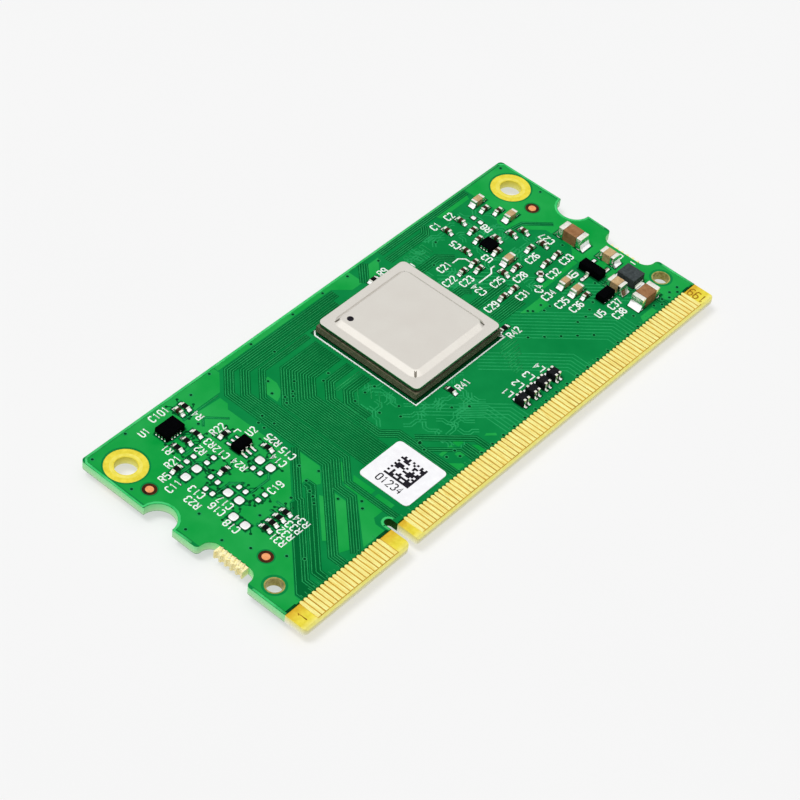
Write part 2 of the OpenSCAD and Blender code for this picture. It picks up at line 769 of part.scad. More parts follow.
module underside_capacitor_bodies() {
    color("saddlebrown") underside() each_place(under_cap_places) chip_body(small_cap);
}
module underside_capacitor_terminals() {
    color("silver") underside() each_place(under_cap_places) chip_ends(small_cap);
}

// Solder balls in a frame of rows around a package's edge
ball_rows = 3;
module ball(r, h) {
    rotate_extrude() intersection() {
        translate([0, h / 2]) circle(r);
        square([r, h]);
    }
}
module ball_frame(l, w, pitch, r, h) {
    across = floor((l - 2 * pitch) / pitch) + 1;
    deep = floor((w - 2 * pitch) / pitch) + 1;
    for (i = [0 : across - 1], j = [0 : deep - 1])
        if (min(i, j, across - 1 - i, deep - 1 - j) < ball_rows)
            translate([(i - (across - 1) / 2) * pitch, (j - (deep - 1) / 2) * pitch, 0]) ball(r, h);
}

// Processor
lid_size = soc_size - 2 * lid_setback;
lid_top_size = lid_size - 2 * lid_rim_w - 2 * lid_shoulder_w;
die_room = sealant_h + lid_rise;
flank_drop = lid_rise - 2 * lid_bend_r;
flank_turn = asin(2 * lid_bend_r / norm([lid_shoulder_w, flank_drop])) + atan2(flank_drop, lid_shoulder_w);
bend_w = lid_bend_r * sin(flank_turn);
bend_h = lid_bend_r * (1 - cos(flank_turn));
module shoulder_shape(inner) {
    outer = inner + lid_shoulder_w;
    square([inner, lid_rise]);
    intersection() {
        translate([inner, 0]) square([bend_w, lid_rise]);
        union() {
            translate([inner, lid_rise - lid_bend_r]) circle(lid_bend_r, $fn = 64);
            translate([inner, 0]) square([bend_w, lid_rise - lid_bend_r]);
        }
    }
    polygon([
        [inner + bend_w, 0], [outer - bend_w, 0],
        [outer - bend_w, bend_h], [inner + bend_w, lid_rise - bend_h]
    ]);
    difference() {
        translate([outer - bend_w, 0]) square([bend_w, bend_h]);
        translate([outer, lid_bend_r]) circle(lid_bend_r, $fn = 64);
    }
}
module lid_shoulder() {
    straight = lid_top_size - 2 * lid_top_r;
    for (turn = [0 : 90 : 270]) rotate(turn) {
        translate([lid_top_size / 2 - lid_top_r, straight / 2, 0]) rotate([90, 0, 0])
            linear_extrude(straight) shoulder_shape(lid_top_r);
        translate([straight / 2, straight / 2, 0]) rotate_extrude(angle = 90, $fn = 64)
            shoulder_shape(lid_top_r);
    }
    linear_extrude(lid_rise) box_shape(straight, straight);
}
module processor_balls() {
    color("gainsboro") translate([soc_x, soc_y, seat_z])
        ball_frame(soc_size, soc_size, soc_ball_pitch, soc_ball_r, soc_ball_h);
}
module processor_substrate() {
    color("darkolivegreen") translate([soc_x, soc_y, substrate_z])
        linear_extrude(soc_t) box_shape(soc_size, soc_size);
}
module processor_die() {
    color("dimgray") translate([soc_x, soc_y, die_z])
        linear_extrude(die_t) box_shape(die_size, die_size);
}
module processor_thermal_paste() {
    color("lightgray") translate([soc_x, soc_y, die_z + die_t])
        linear_extrude(die_room - die_t) box_shape(die_size, die_size);
}
module processor_lid_sealant() {
    outer = lid_size - 2 * sealant_in;
    color("dimgray") translate([soc_x, soc_y, die_z]) linear_extrude(sealant_h) difference() {
        round_box_shape(outer, outer, lid_r);
        box_shape(outer - 2 * sealant_w, outer - 2 * sealant_w);
    }
}
module processor_lid() {
    color("lightgray") translate([soc_x, soc_y, lid_z]) difference() {
        union() {
            linear_extrude(lid_t) round_box_shape(lid_size, lid_size, lid_r);
            translate([0, 0, lid_t]) lid_shoulder();
        }
        translate([0, 0, -lid_rise]) linear_extrude(2 * lid_rise)
            round_box_shape(lid_top_size, lid_top_size, lid_top_r);
    }
}

// Underside packages
module memory_balls() {
    color("gainsboro") translate([memory_place[0], memory_place[1], under_z - under_ball_h])
        ball_frame(memory_size, memory_size, under_ball_pitch, under_ball_r, under_ball_h);
}
module memory_package() {
    color("darkslategray")
        translate([memory_place[0], memory_place[1], under_z - under_ball_h - memory_t])
            linear_extrude(memory_t) box_shape(memory_size, memory_size);
}
module storage_balls() {
    color("gainsboro") translate([storage_place[0], storage_place[1], under_z - under_ball_h])
        ball_frame(storage_l, storage_w, under_ball_pitch, under_ball_r, under_ball_h);
}
module storage_package() {
    color("darkslategray")
        translate([storage_place[0], storage_place[1], under_z - under_ball_h - storage_t])
            linear_extrude(storage_t) box_shape(storage_l, storage_w);
}
module crystal_base() {
    color("goldenrod") underside() at_place(crystal_place) translate([0, 0, seat_z])
        linear_extrude(crystal_base_h) box_shape(crystal_l, crystal_w);
}
module crystal_cover() {
    cover_r = 0.3;
    color("silver") underside() at_place(crystal_place) translate([0, 0, seat_z + crystal_base_h])
        linear_extrude(crystal_cover_h)
            round_box_shape(crystal_l - 2 * crystal_lip, crystal_w - 2 * crystal_lip, cover_r);
}

// Chips with edge contacts
module pad_row(reach, count) {
    for (i = [0 : count - 1])
        translate([reach, (i - (count - 1) / 2) * pad_pitch - pad_w / 2, seat_z])
            cube([pad_out, pad_w, pad_h]);
}
module switch_chip_body() {
    color("black") at_place(switch_place) translate([0, 0, seat_z])
        linear_extrude(switch_h) box_shape(switch_l, switch_w);
}
module switch_chip_contacts() {
    color("silver") at_place(switch_place) both_ends() {
        pad_row(switch_l / 2, switch_side_pads);
        rotate(90) pad_row(switch_w / 2, switch_side_pads);
    }
}
module supply_chip_body() {
    color("black") at_place(supply_place) translate([0, 0, seat_z])
        linear_extrude(supply_h) box_shape(supply_size, supply_size);
}
module supply_chip_contacts() {
    color("silver") at_place(supply_place) both_ends() pad_row(supply_size / 2, supply_side_pads);
}

// Chips with gull-wing leads
module leaded_body(size) {
    half = size[1] / 2;
    bottom = standoff;
    lead_low = (size[2] + standoff - lead_t) / 2;
    lead_high = lead_low + lead_t;
    translate([-size[0] / 2, 0, seat_z]) rotate([90, 0, 90]) linear_extrude(size[0]) polygon([
        [-half + body_draft, bottom], [half - body_draft, bottom],
        [half, lead_low], [half, lead_high],
        [half - body_draft, size[2]], [-half + body_draft, size[2]],
        [-half, lead_high], [-half, lead_low]
    ]);
}
module gull_lead(size) {
    half = size[1] / 2;
    reach = size[3] / 2;
    heel = reach - foot_l;
    lead_low = (size[2] + standoff - lead_t) / 2;
    lead_high = lead_low + lead_t;
    translate([-size[5] / 2, 0, seat_z]) rotate([90, 0, 90]) linear_extrude(size[5]) polygon([
        [half, lead_low], [heel - lead_t, lead_low], [heel - lead_t, 0], [reach, 0],
        [reach, lead_t], [heel, lead_t], [heel, lead_high], [half, lead_high]
    ]);
}
module lead_set(size, leads) {
    for (lead = leads)
        translate([lead[0] * size[4], 0, 0]) rotate(lead[1] > 0 ? 0 : 180) gull_lead(size);
}
module gate_chip_body() {
    color("black") at_place(gate_place) leaded_body(outline_chip);
}
module gate_chip_leads() {
    color("silver") at_place(gate_place) lead_set(outline_chip, six_leads);
}
module converter_chip_body() {
    color("black") at_place(converter_place) leaded_body(outline_chip);
}
module converter_chip_contacts() {
    color("silver") at_place(converter_place) translate([0, 0, seat_z])
        linear_extrude(standoff) flat_contact_shapes(outline_chip, six_leads, 0);
}
module transistor_body() {
    color("black") at_place(transistor_place) leaded_body(transistor_chip);
}
module transistor_leads() {
    color("silver") at_place(transistor_place) lead_set(transistor_chip, three_leads);
}

// Chokes and inductor
module choke_bodies() {
    color("black") each_place(choke_places) translate([0, 0, seat_z])
        linear_extrude(choke_h) box_shape(choke_l, choke_w);
}
module choke_terminal() {
    rotate([90, 0, 90]) linear_extrude(choke_end_w) polygon([
        [0, 0], [choke_end_t, 0], [choke_end_t, choke_h + choke_end_t],
        [-choke_wrap, choke_h + choke_end_t], [-choke_wrap, choke_h], [0, choke_h]
    ]);
}
module choke_terminals() {
    color("white") each_place(choke_places) both_ends() for (sx = [-1, 1])
        translate([sx * choke_gap / 2 - choke_end_w / 2, choke_w / 2, seat_z]) choke_terminal();
}
module inductor_body() {
    color("darkslategray") at_place(inductor_place) translate([0, 0, seat_z])
        linear_extrude(inductor_h) box_shape(inductor_w, inductor_l);
}
module inductor_terminals() {
    color("silver") at_place(inductor_place) both_ends()
        translate([-inductor_end_w / 2, inductor_l / 2, seat_z])
            cube([inductor_end_w, inductor_end_t, inductor_end_h]);
}

// Label
module code_label() {
    color("white") translate([left_x + label_x, near_y + label_up, seat_z])
        linear_extrude(label_t) round_box_shape(label_size, label_size, label_r);
}

circuit_board();
solder_mask_top();
solder_mask_bottom();
edge_contacts_top();
edge_contacts_bottom();
locating_hole_sleeves();
fiducial_dots();
bare_lands();
component_lands();
underside_lands();
solder_fillets();
processor_balls();
processor_substrate();
processor_die();
processor_thermal_paste();
processor_lid_sealant();
processor_lid();
memory_balls();
memory_package();
storage_balls();
storage_package();
underside_capacitor_bodies();
underside_capacitor_terminals();
crystal_base();
crystal_cover();
switch_chip_body();
switch_chip_contacts();
supply_chip_body();
supply_chip_contacts();
gate_chip_body();
gate_chip_leads();
converter_chip_body();
converter_chip_contacts();
transistor_body();
transistor_leads();
choke_bodies();
choke_terminals();
inductor_body();
inductor_terminals();
resistor_bodies();
resistor_coats();
resistor_terminals();
small_capacitor_bodies();
small_capacitor_terminals();
medium_capacitor_bodies();
medium_capacitor_terminals();
large_capacitor_bodies();
large_capacitor_terminals();
bulk_capacitor_bodies();
bulk_capacitor_terminals();
code_label();
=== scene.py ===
import math
import random

import bmesh
import bpy
from mathutils import Matrix, Vector


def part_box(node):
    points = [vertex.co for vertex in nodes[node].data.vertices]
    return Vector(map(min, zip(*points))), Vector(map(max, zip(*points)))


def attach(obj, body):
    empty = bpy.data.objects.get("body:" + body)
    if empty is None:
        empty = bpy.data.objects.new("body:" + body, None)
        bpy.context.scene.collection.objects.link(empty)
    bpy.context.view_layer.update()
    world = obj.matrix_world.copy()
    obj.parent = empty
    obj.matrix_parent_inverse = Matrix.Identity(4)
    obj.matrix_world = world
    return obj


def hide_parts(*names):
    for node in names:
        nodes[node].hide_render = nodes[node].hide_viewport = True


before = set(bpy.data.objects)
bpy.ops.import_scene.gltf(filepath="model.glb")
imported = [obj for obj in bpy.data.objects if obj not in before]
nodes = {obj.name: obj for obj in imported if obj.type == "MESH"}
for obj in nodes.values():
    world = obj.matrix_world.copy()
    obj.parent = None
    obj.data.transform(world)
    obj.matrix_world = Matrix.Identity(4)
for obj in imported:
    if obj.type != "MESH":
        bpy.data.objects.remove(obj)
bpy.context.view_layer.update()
scene = bpy.context.scene

# Lengths below are in millimetres unless a name says otherwise.
MM = 0.001

# The board's place and size, and the levels of its bare laminate, its coat, the label and the lid.
board_low, board_high = (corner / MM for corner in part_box("circuit_board"))
LEFT, NEAR = board_low.x, board_low.y
BOARD_L = board_high.x - board_low.x
BOARD_W = board_high.y - board_low.y
BARE = board_high.z
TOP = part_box("solder_mask_top")[1].z / MM
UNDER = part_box("solder_mask_bottom")[0].z / MM
LABEL_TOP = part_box("code_label")[1].z / MM
LID_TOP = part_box("processor_lid")[1].z / MM

# Where the green coat starts, from the connector edge, and the key slot, from the left edge.
COAT_START = 2.75
KEY_X = 16.25

# Middles of the holes.
MOUNT_HOLES = [(side * (BOARD_L / 2 - 2.75), BOARD_W / 2 - 3.75) for side in (-1, 1)]
LOCATING_HOLES = [(side * (BOARD_L / 2 - 2), 6 - BOARD_W / 2) for side in (-1, 1)]

# Heights of what lies over the green coat, and how deep it reaches into it.
LIP_RISE = 0.006
POUR_RISE = 0.012
BAND_RISE = 0.014
FRAME_RISE = 0.018
TRACE_RISE = 0.024
RIM_RISE = 0.03
INK_RISE = 0.034
SINK = 0.02
TRACE_W = 0.14
INK_W = 0.21


def spot(x, y):
    """A place on the board, from its left edge and its connector edge."""
    return LEFT + x, NEAR + y


def run(*points):
    """A bent line of places on the board."""
    return [spot(x, y) for x, y in points]


# Finishes

def srgb(red, green, blue):
    """A colour as it is seen on a screen, as shader values."""
    def linear(value):
        share = value / 255
        return share / 12.92 if share <= 0.04045 else ((share + 0.055) / 1.055) ** 2.4
    return linear(red), linear(green), linear(blue), 1.0


def add(material, kind):
    """A new shader node of the kind."""
    return material.node_tree.nodes.new("ShaderNode" + kind)


def join(material, source, target):
    """A link between two sockets."""
    material.node_tree.links.new(source, target)


def feed(owner, amount, socket):
    """Gives a socket its amount, which is another socket or a number."""
    if isinstance(amount, (int, float)):
        socket.default_value = amount
    else:
        join(owner, amount, socket)


def shader_of(material):
    """The shader that the material starts with."""
    return material.node_tree.nodes["Principled BSDF"]


def plain_finish(name, metallic=0.0, gloss=0.3):
    """A surface with no pattern yet."""
    material = bpy.data.materials.new(name)
    material.use_nodes = True
    shader = shader_of(material)
    shader.inputs["Metallic"].default_value = metallic
    shader.inputs["Specular IOR Level"].default_value = gloss
    return material


def mottle(material, patch, stretch=(1, 1, 1), detail=4):
    """Cloudy variation on the piece's own coordinates, patch being its size."""
    place = add(material, "TexCoord")
    sized = add(material, "Mapping")
    sized.inputs["Scale"].default_value = [share / (patch * MM) for share in stretch]
    noise = add(material, "TexNoise")
    noise.inputs["Scale"].default_value = 1
    noise.inputs["Detail"].default_value = detail
    join(material, place.outputs["Object"], sized.inputs["Vector"])
    join(material, sized.outputs["Vector"], noise.inputs["Vector"])
    return noise.outputs["Fac"]


def shades(material, amount, dark, light, low=0.3, high=0.7):
    """A colour that runs from dark to light with the amount."""
    ramp = add(material, "ValToRGB")
    ramp.color_ramp.elements[0].position = low
    ramp.color_ramp.elements[0].color = dark
    ramp.color_ramp.elements[1].position = high
    ramp.color_ramp.elements[1].color = light
    join(material, amount, ramp.inputs["Fac"])
    return ramp.outputs["Color"]


def polish(material, amount, smooth, rough):
    """Roughness that runs from smooth to rough with the amount."""
    span = add(material, "MapRange")
    span.inputs["From Min"].default_value = 0.3
    span.inputs["From Max"].default_value = 0.7
    span.inputs["To Min"].default_value = smooth
    span.inputs["To Max"].default_value = rough
    join(material, amount, span.inputs["Value"])
    join(material, span.outputs["Result"], shader_of(material).inputs["Roughness"])


def relief(material, amount, depth):
    """Fine unevenness of the given depth."""
    bump = add(material, "Bump")
    bump.inputs["Distance"].default_value = depth * MM
    bump.inputs["Strength"].default_value = 0.6
    join(material, amount, bump.inputs["Height"])
    join(material, bump.outputs["Normal"], shader_of(material).inputs["Normal"])


def cloudy_finish(name, dark, light, rough, patch, depth=0.0, metallic=0.0, gloss=0.3,
                  stretch=(1, 1, 1)):
    """A surface with clouded colour, uneven polish and fine relief."""
    material = plain_finish(name, metallic, gloss)
    cloud = mottle(material, patch, stretch)
    colour = shades(material, cloud, srgb(*dark), srgb(*light))
    join(material, colour, shader_of(material).inputs["Base Color"])
    polish(material, mottle(material, patch * 0.6, stretch), rough[0], rough[1])
    if depth:
        relief(material, mottle(material, patch * 0.3, stretch, 6), depth)
    return material


def combine(owner, operation, first, second):
    """Two amounts, each a socket or a number, put together by the operation."""
    both = add(owner, "Math")
    both.operation = operation
    feed(owner, first, both.inputs[0])
    feed(owner, second, both.inputs[1])
    return both.outputs["Value"]


def axis_of(owner, axis, output="Object"):
    """One coordinate of the piece, or of a direction in the room."""
    place = add(owner, "TexCoord")
    parts = add(owner, "SeparateXYZ")
    join(owner, place.outputs[output], parts.inputs["Vector"])
    return parts.outputs[axis]


def within(material, axis, low, high, mirrored=False):
    """One between two places on an axis, otherwise nought."""
    value = axis_of(material, axis)
    if mirrored:
        value = combine(material, "ABSOLUTE", value, 0)
    past = combine(material, "GREATER_THAN", value, low * MM)
    short = combine(material, "LESS_THAN", value, high * MM)
    return combine(material, "MULTIPLY", past, short)


def blend(material, amount, first, second):
    """The first colour where the amount is nought, the second where it is one."""
    mix = add(material, "Mix")
    mix.data_type = "RGBA"
    join(material, amount, mix.inputs[0])
    join(material, first, mix.inputs[6])
    join(material, second, mix.inputs[7])
    return mix.outputs[2]


def climb(material, low, high, axis="Z"):
    """Nought at the low place on an axis, one at the high one."""
    span = add(material, "MapRange")
    span.inputs["From Min"].default_value = low * MM
    span.inputs["From Max"].default_value = high * MM
    join(material, axis_of(material, axis), span.inputs["Value"])
    return span.outputs["Result"]


def laminate_finish():
    """Woven glass laminate: bare at the strip, browner to the coat, dark round the lands, with painted
    shade in the narrow gaps between the contacts.
    """
    short_row, long_row = (-31.75, -19.75), (-15.95, 31.75)
    rings_x, rings_y, beyond = 28.3, 9, 40
    brown_start, pale_start = 1.3, 0.8
    material = plain_finish("bare_laminate", gloss=0.1)
    weave = mottle(material, 0.5, (1, 1, 3))
    along = mottle(material, 0.8, (1, 0.3, 1))
    bright = shades(material, weave, srgb(226, 208, 58), srgb(246, 230, 82))
    gap = shades(material, weave, srgb(44, 50, 18), srgb(70, 74, 28))
    amber = shades(material, weave, srgb(212, 162, 36), srgb(232, 188, 54))
    pale = shades(material, weave, srgb(244, 236, 126), srgb(250, 244, 156))
    # Painted shade: the bare laminate in the narrow gaps between the contacts is darkened as if shaded by
    # them.
    shade_between_contacts = shades(material, along, srgb(178, 132, 34), srgb(214, 172, 64))
    to_coat = climb(material, NEAR + brown_start, NEAR + COAT_START, "Y")
    to_edge = climb(material, NEAR + pale_start, NEAR, "Y")
    strip = blend(material, to_edge, blend(material, to_coat, bright, amber), pale)
    at_strip = within(material, "Y", NEAR - 1, NEAR + COAT_START)
    out_at_rings = within(material, "X", rings_x, beyond, True)
    at_rings = combine(material, "MULTIPLY", out_at_rings, within(material, "Y", rings_y, beyond))
    rows = combine(
        material, "MAXIMUM", within(material, "X", *short_row), within(material, "X", *long_row))
    on_top = within(material, "Z", BARE - SINK, TOP + 1)
    in_rows = combine(material, "MULTIPLY", combine(material, "MULTIPLY", rows, at_strip), on_top)
    bare = blend(material, at_strip, blend(material, at_rings, gap, bright), strip)
    colour = blend(material, in_rows, bare, shade_between_contacts)
    join(material, colour, shader_of(material).inputs["Base Color"])
    polish(material, weave, 0.35, 0.55)
    relief(material, weave, 0.01)
    return material


def side_finish(name, low, high):
    """A sawn side of the laminate, its colour changing from below to above."""
    material = plain_finish(name, gloss=0.1)
    height = climb(material, UNDER, TOP)
    colour = shades(material, height, srgb(*low), srgb(*high), 0.1, 0.9)
    weave = mottle(material, 0.25, (1, 1, 5))
    join(material, colour, shader_of(material).inputs["Base Color"])
    polish(material, weave, 0.4, 0.6)
    relief(material, weave, 0.012)
    return material


def plated_finish(name):
    """Plated stamping with a faint grain and scuffs."""
    material = cloudy_finish(
        name, (225, 220, 212), (228, 224, 216), (0.29, 0.32), 2.6, metallic=1.0,
    )
    relief(material, mottle(material, 0.08, (1, 1, 1), 2), 0.0015)
    return material


def lid_finish():
    """The lid's plating, with painted shade on its sheared edge and in the creases at its step's corners.
    """
    rim_drop, edge_depth, fade = 0.55, 0.09, 0.05
    crease_half, crease_start, crease_end = 0.2, 1.62, 1.28
    material = plated_finish("lid_plating")
    low, high = (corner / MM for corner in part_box("processor_lid"))
    middle = (low + high) / 2
    half = (high.x - low.x) / 2

    def away(axis, place):
        """How far a spot lies from the lid's middle along an axis."""
        apart = combine(material, "SUBTRACT", axis_of(material, axis), place * MM)
        return combine(material, "ABSOLUTE", apart, 0)

    plated = shader_of(material).inputs["Base Color"].links[0].from_socket
    # Painted shade: a darker plating colour laid on the sheared edge below the rim and in the step's corner
    # creases.
    painted_shade = shades(material, mottle(material, 0.2), srgb(108, 102, 92), srgb(132, 126, 116))
    across, along = away("X", middle.x), away("Y", middle.y)
    off_corner = combine(material, "ABSOLUTE", combine(material, "SUBTRACT", across, along), 0)
    reach = combine(material, "MAXIMUM", across, along)
    crease = combine(material, "LESS_THAN", off_corner, crease_half * MM)
    for operation, setback in (("GREATER_THAN", crease_start), ("LESS_THAN", crease_end)):
        inside = combine(material, operation, reach, (half - setback) * MM)
        crease = combine(material, "MULTIPLY", crease, inside)
    rim = LID_TOP - rim_drop - edge_depth
    # Where this amount is nought, the painted shade shows instead of the plating.
    clear = combine(material, "SUBTRACT", climb(material, rim - fade, rim), crease)
    join(material, blend(material, clear, painted_shade, plated), shader_of(material).inputs["Base Color"])
    return material


def gold_finish():
    """Plated contacts with wiping marks along their length."""
    material = cloudy_finish(
        "contact_gold", (246, 221, 116), (255, 253, 166), (0.24, 0.38), 0.5,
        metallic=0.5, stretch=(2.2, 0.35, 1),
    )
    relief(material, mottle(material, 0.4, (2, 0.2, 1), 2), 0.001)
    return material


def coat(name, dark, light, patch, depth=0.005, rough=(0.34, 0.44)):
    """The green coat, as it looks over what lies under it."""
    return cloudy_finish(name, dark, light, rough, patch, depth, gloss=0.02)


def ceramic(name, dark, light, patch=0.5):
    """The body of a chip capacitor."""
    return cloudy_finish(name, dark, light, (0.35, 0.5), patch, 0.006, gloss=0.05)


coat_dark = coat("coat_over_laminate", (4, 126, 61), (14, 138, 70), 4)
coat_gap = coat("coat_between_lines", (0, 94, 44), (3, 104, 50), 4)
coat_light = coat("coat_over_copper", (8, 154, 61), (40, 170, 80), 5)
coat_line = coat("coat_over_line", (26, 150, 80), (46, 164, 94), 1.2, 0.003, (0.32, 0.42))
coat_faint = coat("coat_over_inner_line", (28, 150, 84), (42, 162, 96), 1.2, 0.003)
# Lighter green for the coat's thin margin at the outline, partly a painted highlight on its rounded edge.
coat_rim_highlight = coat("coat_at_the_edge", (40, 190, 95), (82, 212, 126), 1.5, 0.004, (0.34, 0.45))
coat_well = coat("coat_over_hole", (0, 56, 27), (2, 72, 36), 0.3, 0.004, (0.38, 0.5))
# Dark green, used for dots and bare coat margins, and also as painted shade round the chips and the
# processor.
dark_coat_and_painted_shade = coat("dark_coat_and_painted_shade", (0, 66, 31), (4, 86, 42), 0.3, 0.004, (0.38, 0.5))
coat_lip = coat("coat_lip", (14, 66, 14), (40, 88, 20), 0.6, 0.004, (0.4, 0.5))
# The sawn sides are painted pale, near white at the strip and towards the bottom, a painted glow of light
# passing through the laminate.
coated_side = side_finish("coated_side", (190, 236, 182), (144, 245, 164))
strip_side = side_finish("strip_side", (255, 254, 232), (252, 242, 140))
hole_side = side_finish("hole_side", (240, 236, 150), (242, 230, 84))
torn_laminate = cloudy_finish(
    "torn_laminate", (252, 234, 158), (255, 250, 206), (0.5, 0.7), 0.3, 0.02, gloss=0.1)
well_brown = cloudy_finish(
    "bare_ring", (36, 14, 5), (84, 38, 14), (0.4, 0.6), 0.5, 0.006, gloss=0.1)
ring_pale = cloudy_finish(
    "screw_ring", (232, 218, 76), (248, 236, 112), (0.4, 0.55), 0.6, 0.006, gloss=0.1)
ink_white = cloudy_finish(
    "white_ink", (242, 252, 245), (254, 255, 254), (0.5, 0.7), 0.25, 0.006, gloss=0.1)
ink_black = cloudy_finish(
    "black_ink", (14, 12, 18), (34, 30, 40), (0.45, 0.65), 0.3, 0.002, gloss=0.1)
etched_brown = cloudy_finish(
    "etched_figure", (156, 104, 14), (188, 136, 26), (0.4, 0.55), 0.4, 0.004, gloss=0.1)
laminate = laminate_finish()
gold = gold_finish()
sleeve_plating = cloudy_finish(
    "sleeve_plating", (132, 122, 48), (190, 180, 108), (0.25, 0.4), 0.4, 0.003, metallic=0.5)
copper = cloudy_finish(
    "fiducial_copper", (238, 146, 88), (252, 176, 118), (0.25, 0.4), 0.3, 0.003, metallic=0.3)
solder = cloudy_finish(
    "solder", (238, 238, 236), (255, 255, 255), (0.14, 0.3), 0.35, 0.012, metallic=1.0)
tin = cloudy_finish(
    "tin_plating", (226, 223, 211), (254, 253, 245), (0.2, 0.36), 0.3, 0.006, metallic=1.0)
lid_plating = lid_finish()
cover_plating = plated_finish("cover_plating")
substrate = cloudy_finish(
    "package_substrate", (84, 83, 65), (122, 118, 95), (0.45, 0.6), 0.5, 0.006, gloss=0.15,
    stretch=(1, 1, 6))
die_silicon = cloudy_finish(
    "die_silicon", (44, 46, 54), (66, 68, 78), (0.1, 0.2), 1.0, metallic=0.4)
paste = cloudy_finish("heat_paste", (196, 194, 190), (220, 218, 214), (0.6, 0.8), 0.6, 0.02)
sealant = cloudy_finish("lid_sealant", (16, 15, 14), (34, 32, 30), (0.5, 0.7), 0.5, 0.02)
moulding = cloudy_finish(
    "black_moulding", (0, 0, 1), (4, 4, 6), (0.5, 0.68), 0.18, 0.01, gloss=0.01)
package_moulding = cloudy_finish(
    "package_moulding", (20, 20, 22), (34, 34, 37), (0.5, 0.68), 0.18, 0.01, gloss=0.05)
package_mark = cloudy_finish(
    "package_mark", (40, 40, 43), (52, 52, 55), (0.3, 0.4), 0.3, 0.004, gloss=0.1)
brown_ceramic = ceramic("brown_ceramic", (44, 32, 22), (82, 58, 40))
tan_ceramic = ceramic("tan_ceramic", (186, 152, 108), (210, 180, 136))
bulk_ceramic = ceramic("bulk_ceramic", (140, 98, 64), (168, 124, 86), 0.6)
white_ceramic = cloudy_finish(
    "white_ceramic", (216, 214, 206), (236, 235, 230), (0.4, 0.55), 0.4, 0.006)
# Painted shade: the resistors' white alumina bodies are coloured near black on their sides, as if in shade.
shaded_resistor_side = cloudy_finish(
    "resistor_side", (26, 25, 25), (50, 48, 47), (0.4, 0.55), 0.3, 0.006, gloss=0.15)
overcoat = cloudy_finish(
    "resistor_overcoat", (2, 2, 4), (16, 16, 18), (0.25, 0.4), 0.3, 0.008, gloss=0.05)
ferrite = cloudy_finish(
    "ferrite", (8, 8, 10), (32, 32, 36), (0.4, 0.6), 0.25, 0.012, gloss=0.05)
inductor_grey = cloudy_finish(
    "inductor_moulding", (54, 60, 61), (74, 81, 82), (0.4, 0.55), 0.3, 0.012, gloss=0.03)
paper = cloudy_finish(
    "label_paper", (244, 243, 247), (253, 253, 255), (0.6, 0.75), 0.8, 0.006, gloss=0.1)

# Each node's finish, material slot, and the radius that its edges are rounded by.
LOOKS = {
    "circuit_board": (laminate, "laminate", 0),
    "solder_mask_top": (coat_dark, "solder_mask", 0),
    "solder_mask_bottom": (coat_dark, "solder_mask", 0),
    "edge_contacts_top": (gold, "gold", 0),
    "edge_contacts_bottom": (gold, "gold", 0),
    "locating_hole_sleeves": (sleeve_plating, "gold", 0),
    "fiducial_dots": (copper, "copper", 0),
    "bare_lands": (solder, "solder", 0),
    "component_lands": (solder, "solder", 0),
    "underside_lands": (solder, "solder", 0),
    "solder_fillets": (solder, "solder", 0.05),
    "processor_balls": (solder, "solder", 0),
    "processor_substrate": (substrate, "substrate", 0.02),
    "processor_die": (die_silicon, "silicon", 0),
    "processor_thermal_paste": (paste, "paste", 0),
    "processor_lid_sealant": (sealant, "sealant", 0),
    "processor_lid": (lid_plating, "nickel", 0.08),
    "memory_balls": (solder, "solder", 0),
    "memory_package": (package_moulding, "moulding", 0.04),
    "storage_balls": (solder, "solder", 0),
    "storage_package": (package_moulding, "moulding", 0.04),
    "underside_capacitor_bodies": (brown_ceramic, "ceramic_brown", 0.03),
    "underside_capacitor_terminals": (tin, "tin", 0.07),
    "crystal_base": (white_ceramic, "alumina", 0),
    "crystal_cover": (cover_plating, "nickel", 0.05),
    "switch_chip_body": (moulding, "moulding", 0.03),
    "switch_chip_contacts": (tin, "tin", 0),
    "supply_chip_body": (moulding, "moulding", 0.03),
    "supply_chip_contacts": (tin, "tin", 0),
    "gate_chip_body": (moulding, "moulding", 0.04),
    "gate_chip_leads": (tin, "tin", 0.03),
    "converter_chip_body": (moulding, "moulding", 0.04),
    "converter_chip_contacts": (tin, "tin", 0),
    "transistor_body": (moulding, "moulding", 0.04),
    "transistor_leads": (tin, "tin", 0.03),
    "choke_bodies": (ferrite, "ferrite", 0.06),
    "choke_terminals": (tin, "tin", 0.05),
    "inductor_body": (inductor_grey, "ferrite", 0.1),
    "inductor_terminals": (tin, "tin", 0.04),
    "resistor_bodies": (shaded_resistor_side, "alumina", 0),
    "resistor_coats": (overcoat, "overcoat", 0.02),
    "resistor_terminals": (tin, "tin", 0.05),
    "small_capacitor_bodies": (brown_ceramic, "ceramic_brown", 0.03),
    "small_capacitor_terminals": (tin, "tin", 0.07),
    "medium_capacitor_bodies": (tan_ceramic, "ceramic_tan", 0.04),
    "medium_capacitor_terminals": (tin, "tin", 0.09),
    "large_capacitor_bodies": (tan_ceramic, "ceramic_tan", 0.05),
    "large_capacitor_terminals": (tin, "tin", 0.1),
    "bulk_capacitor_bodies": (bulk_ceramic, "ceramic_brown", 0.06),
    "bulk_capacitor_terminals": (tin, "tin", 0.12),
    "code_label": (paper, "label_paper", 0),
}
for name, (finish, slot, radius) in LOOKS.items():
    nodes[name].data.materials.clear()
    nodes[name].data.materials.append(finish)


# Making and placing pieces

def new_piece(name, shape, material):
    """An object of the shape, which is in millimetres, riding on the board."""
    shape.transform(Matrix.Scale(MM, 4))
    mesh = bpy.data.meshes.new(name)
    shape.to_mesh(mesh)
    shape.free()
    mesh.materials.append(material)
    piece = bpy.data.objects.new(name, mesh)
    scene.collection.objects.link(piece)
    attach(piece, "root")
    return piece


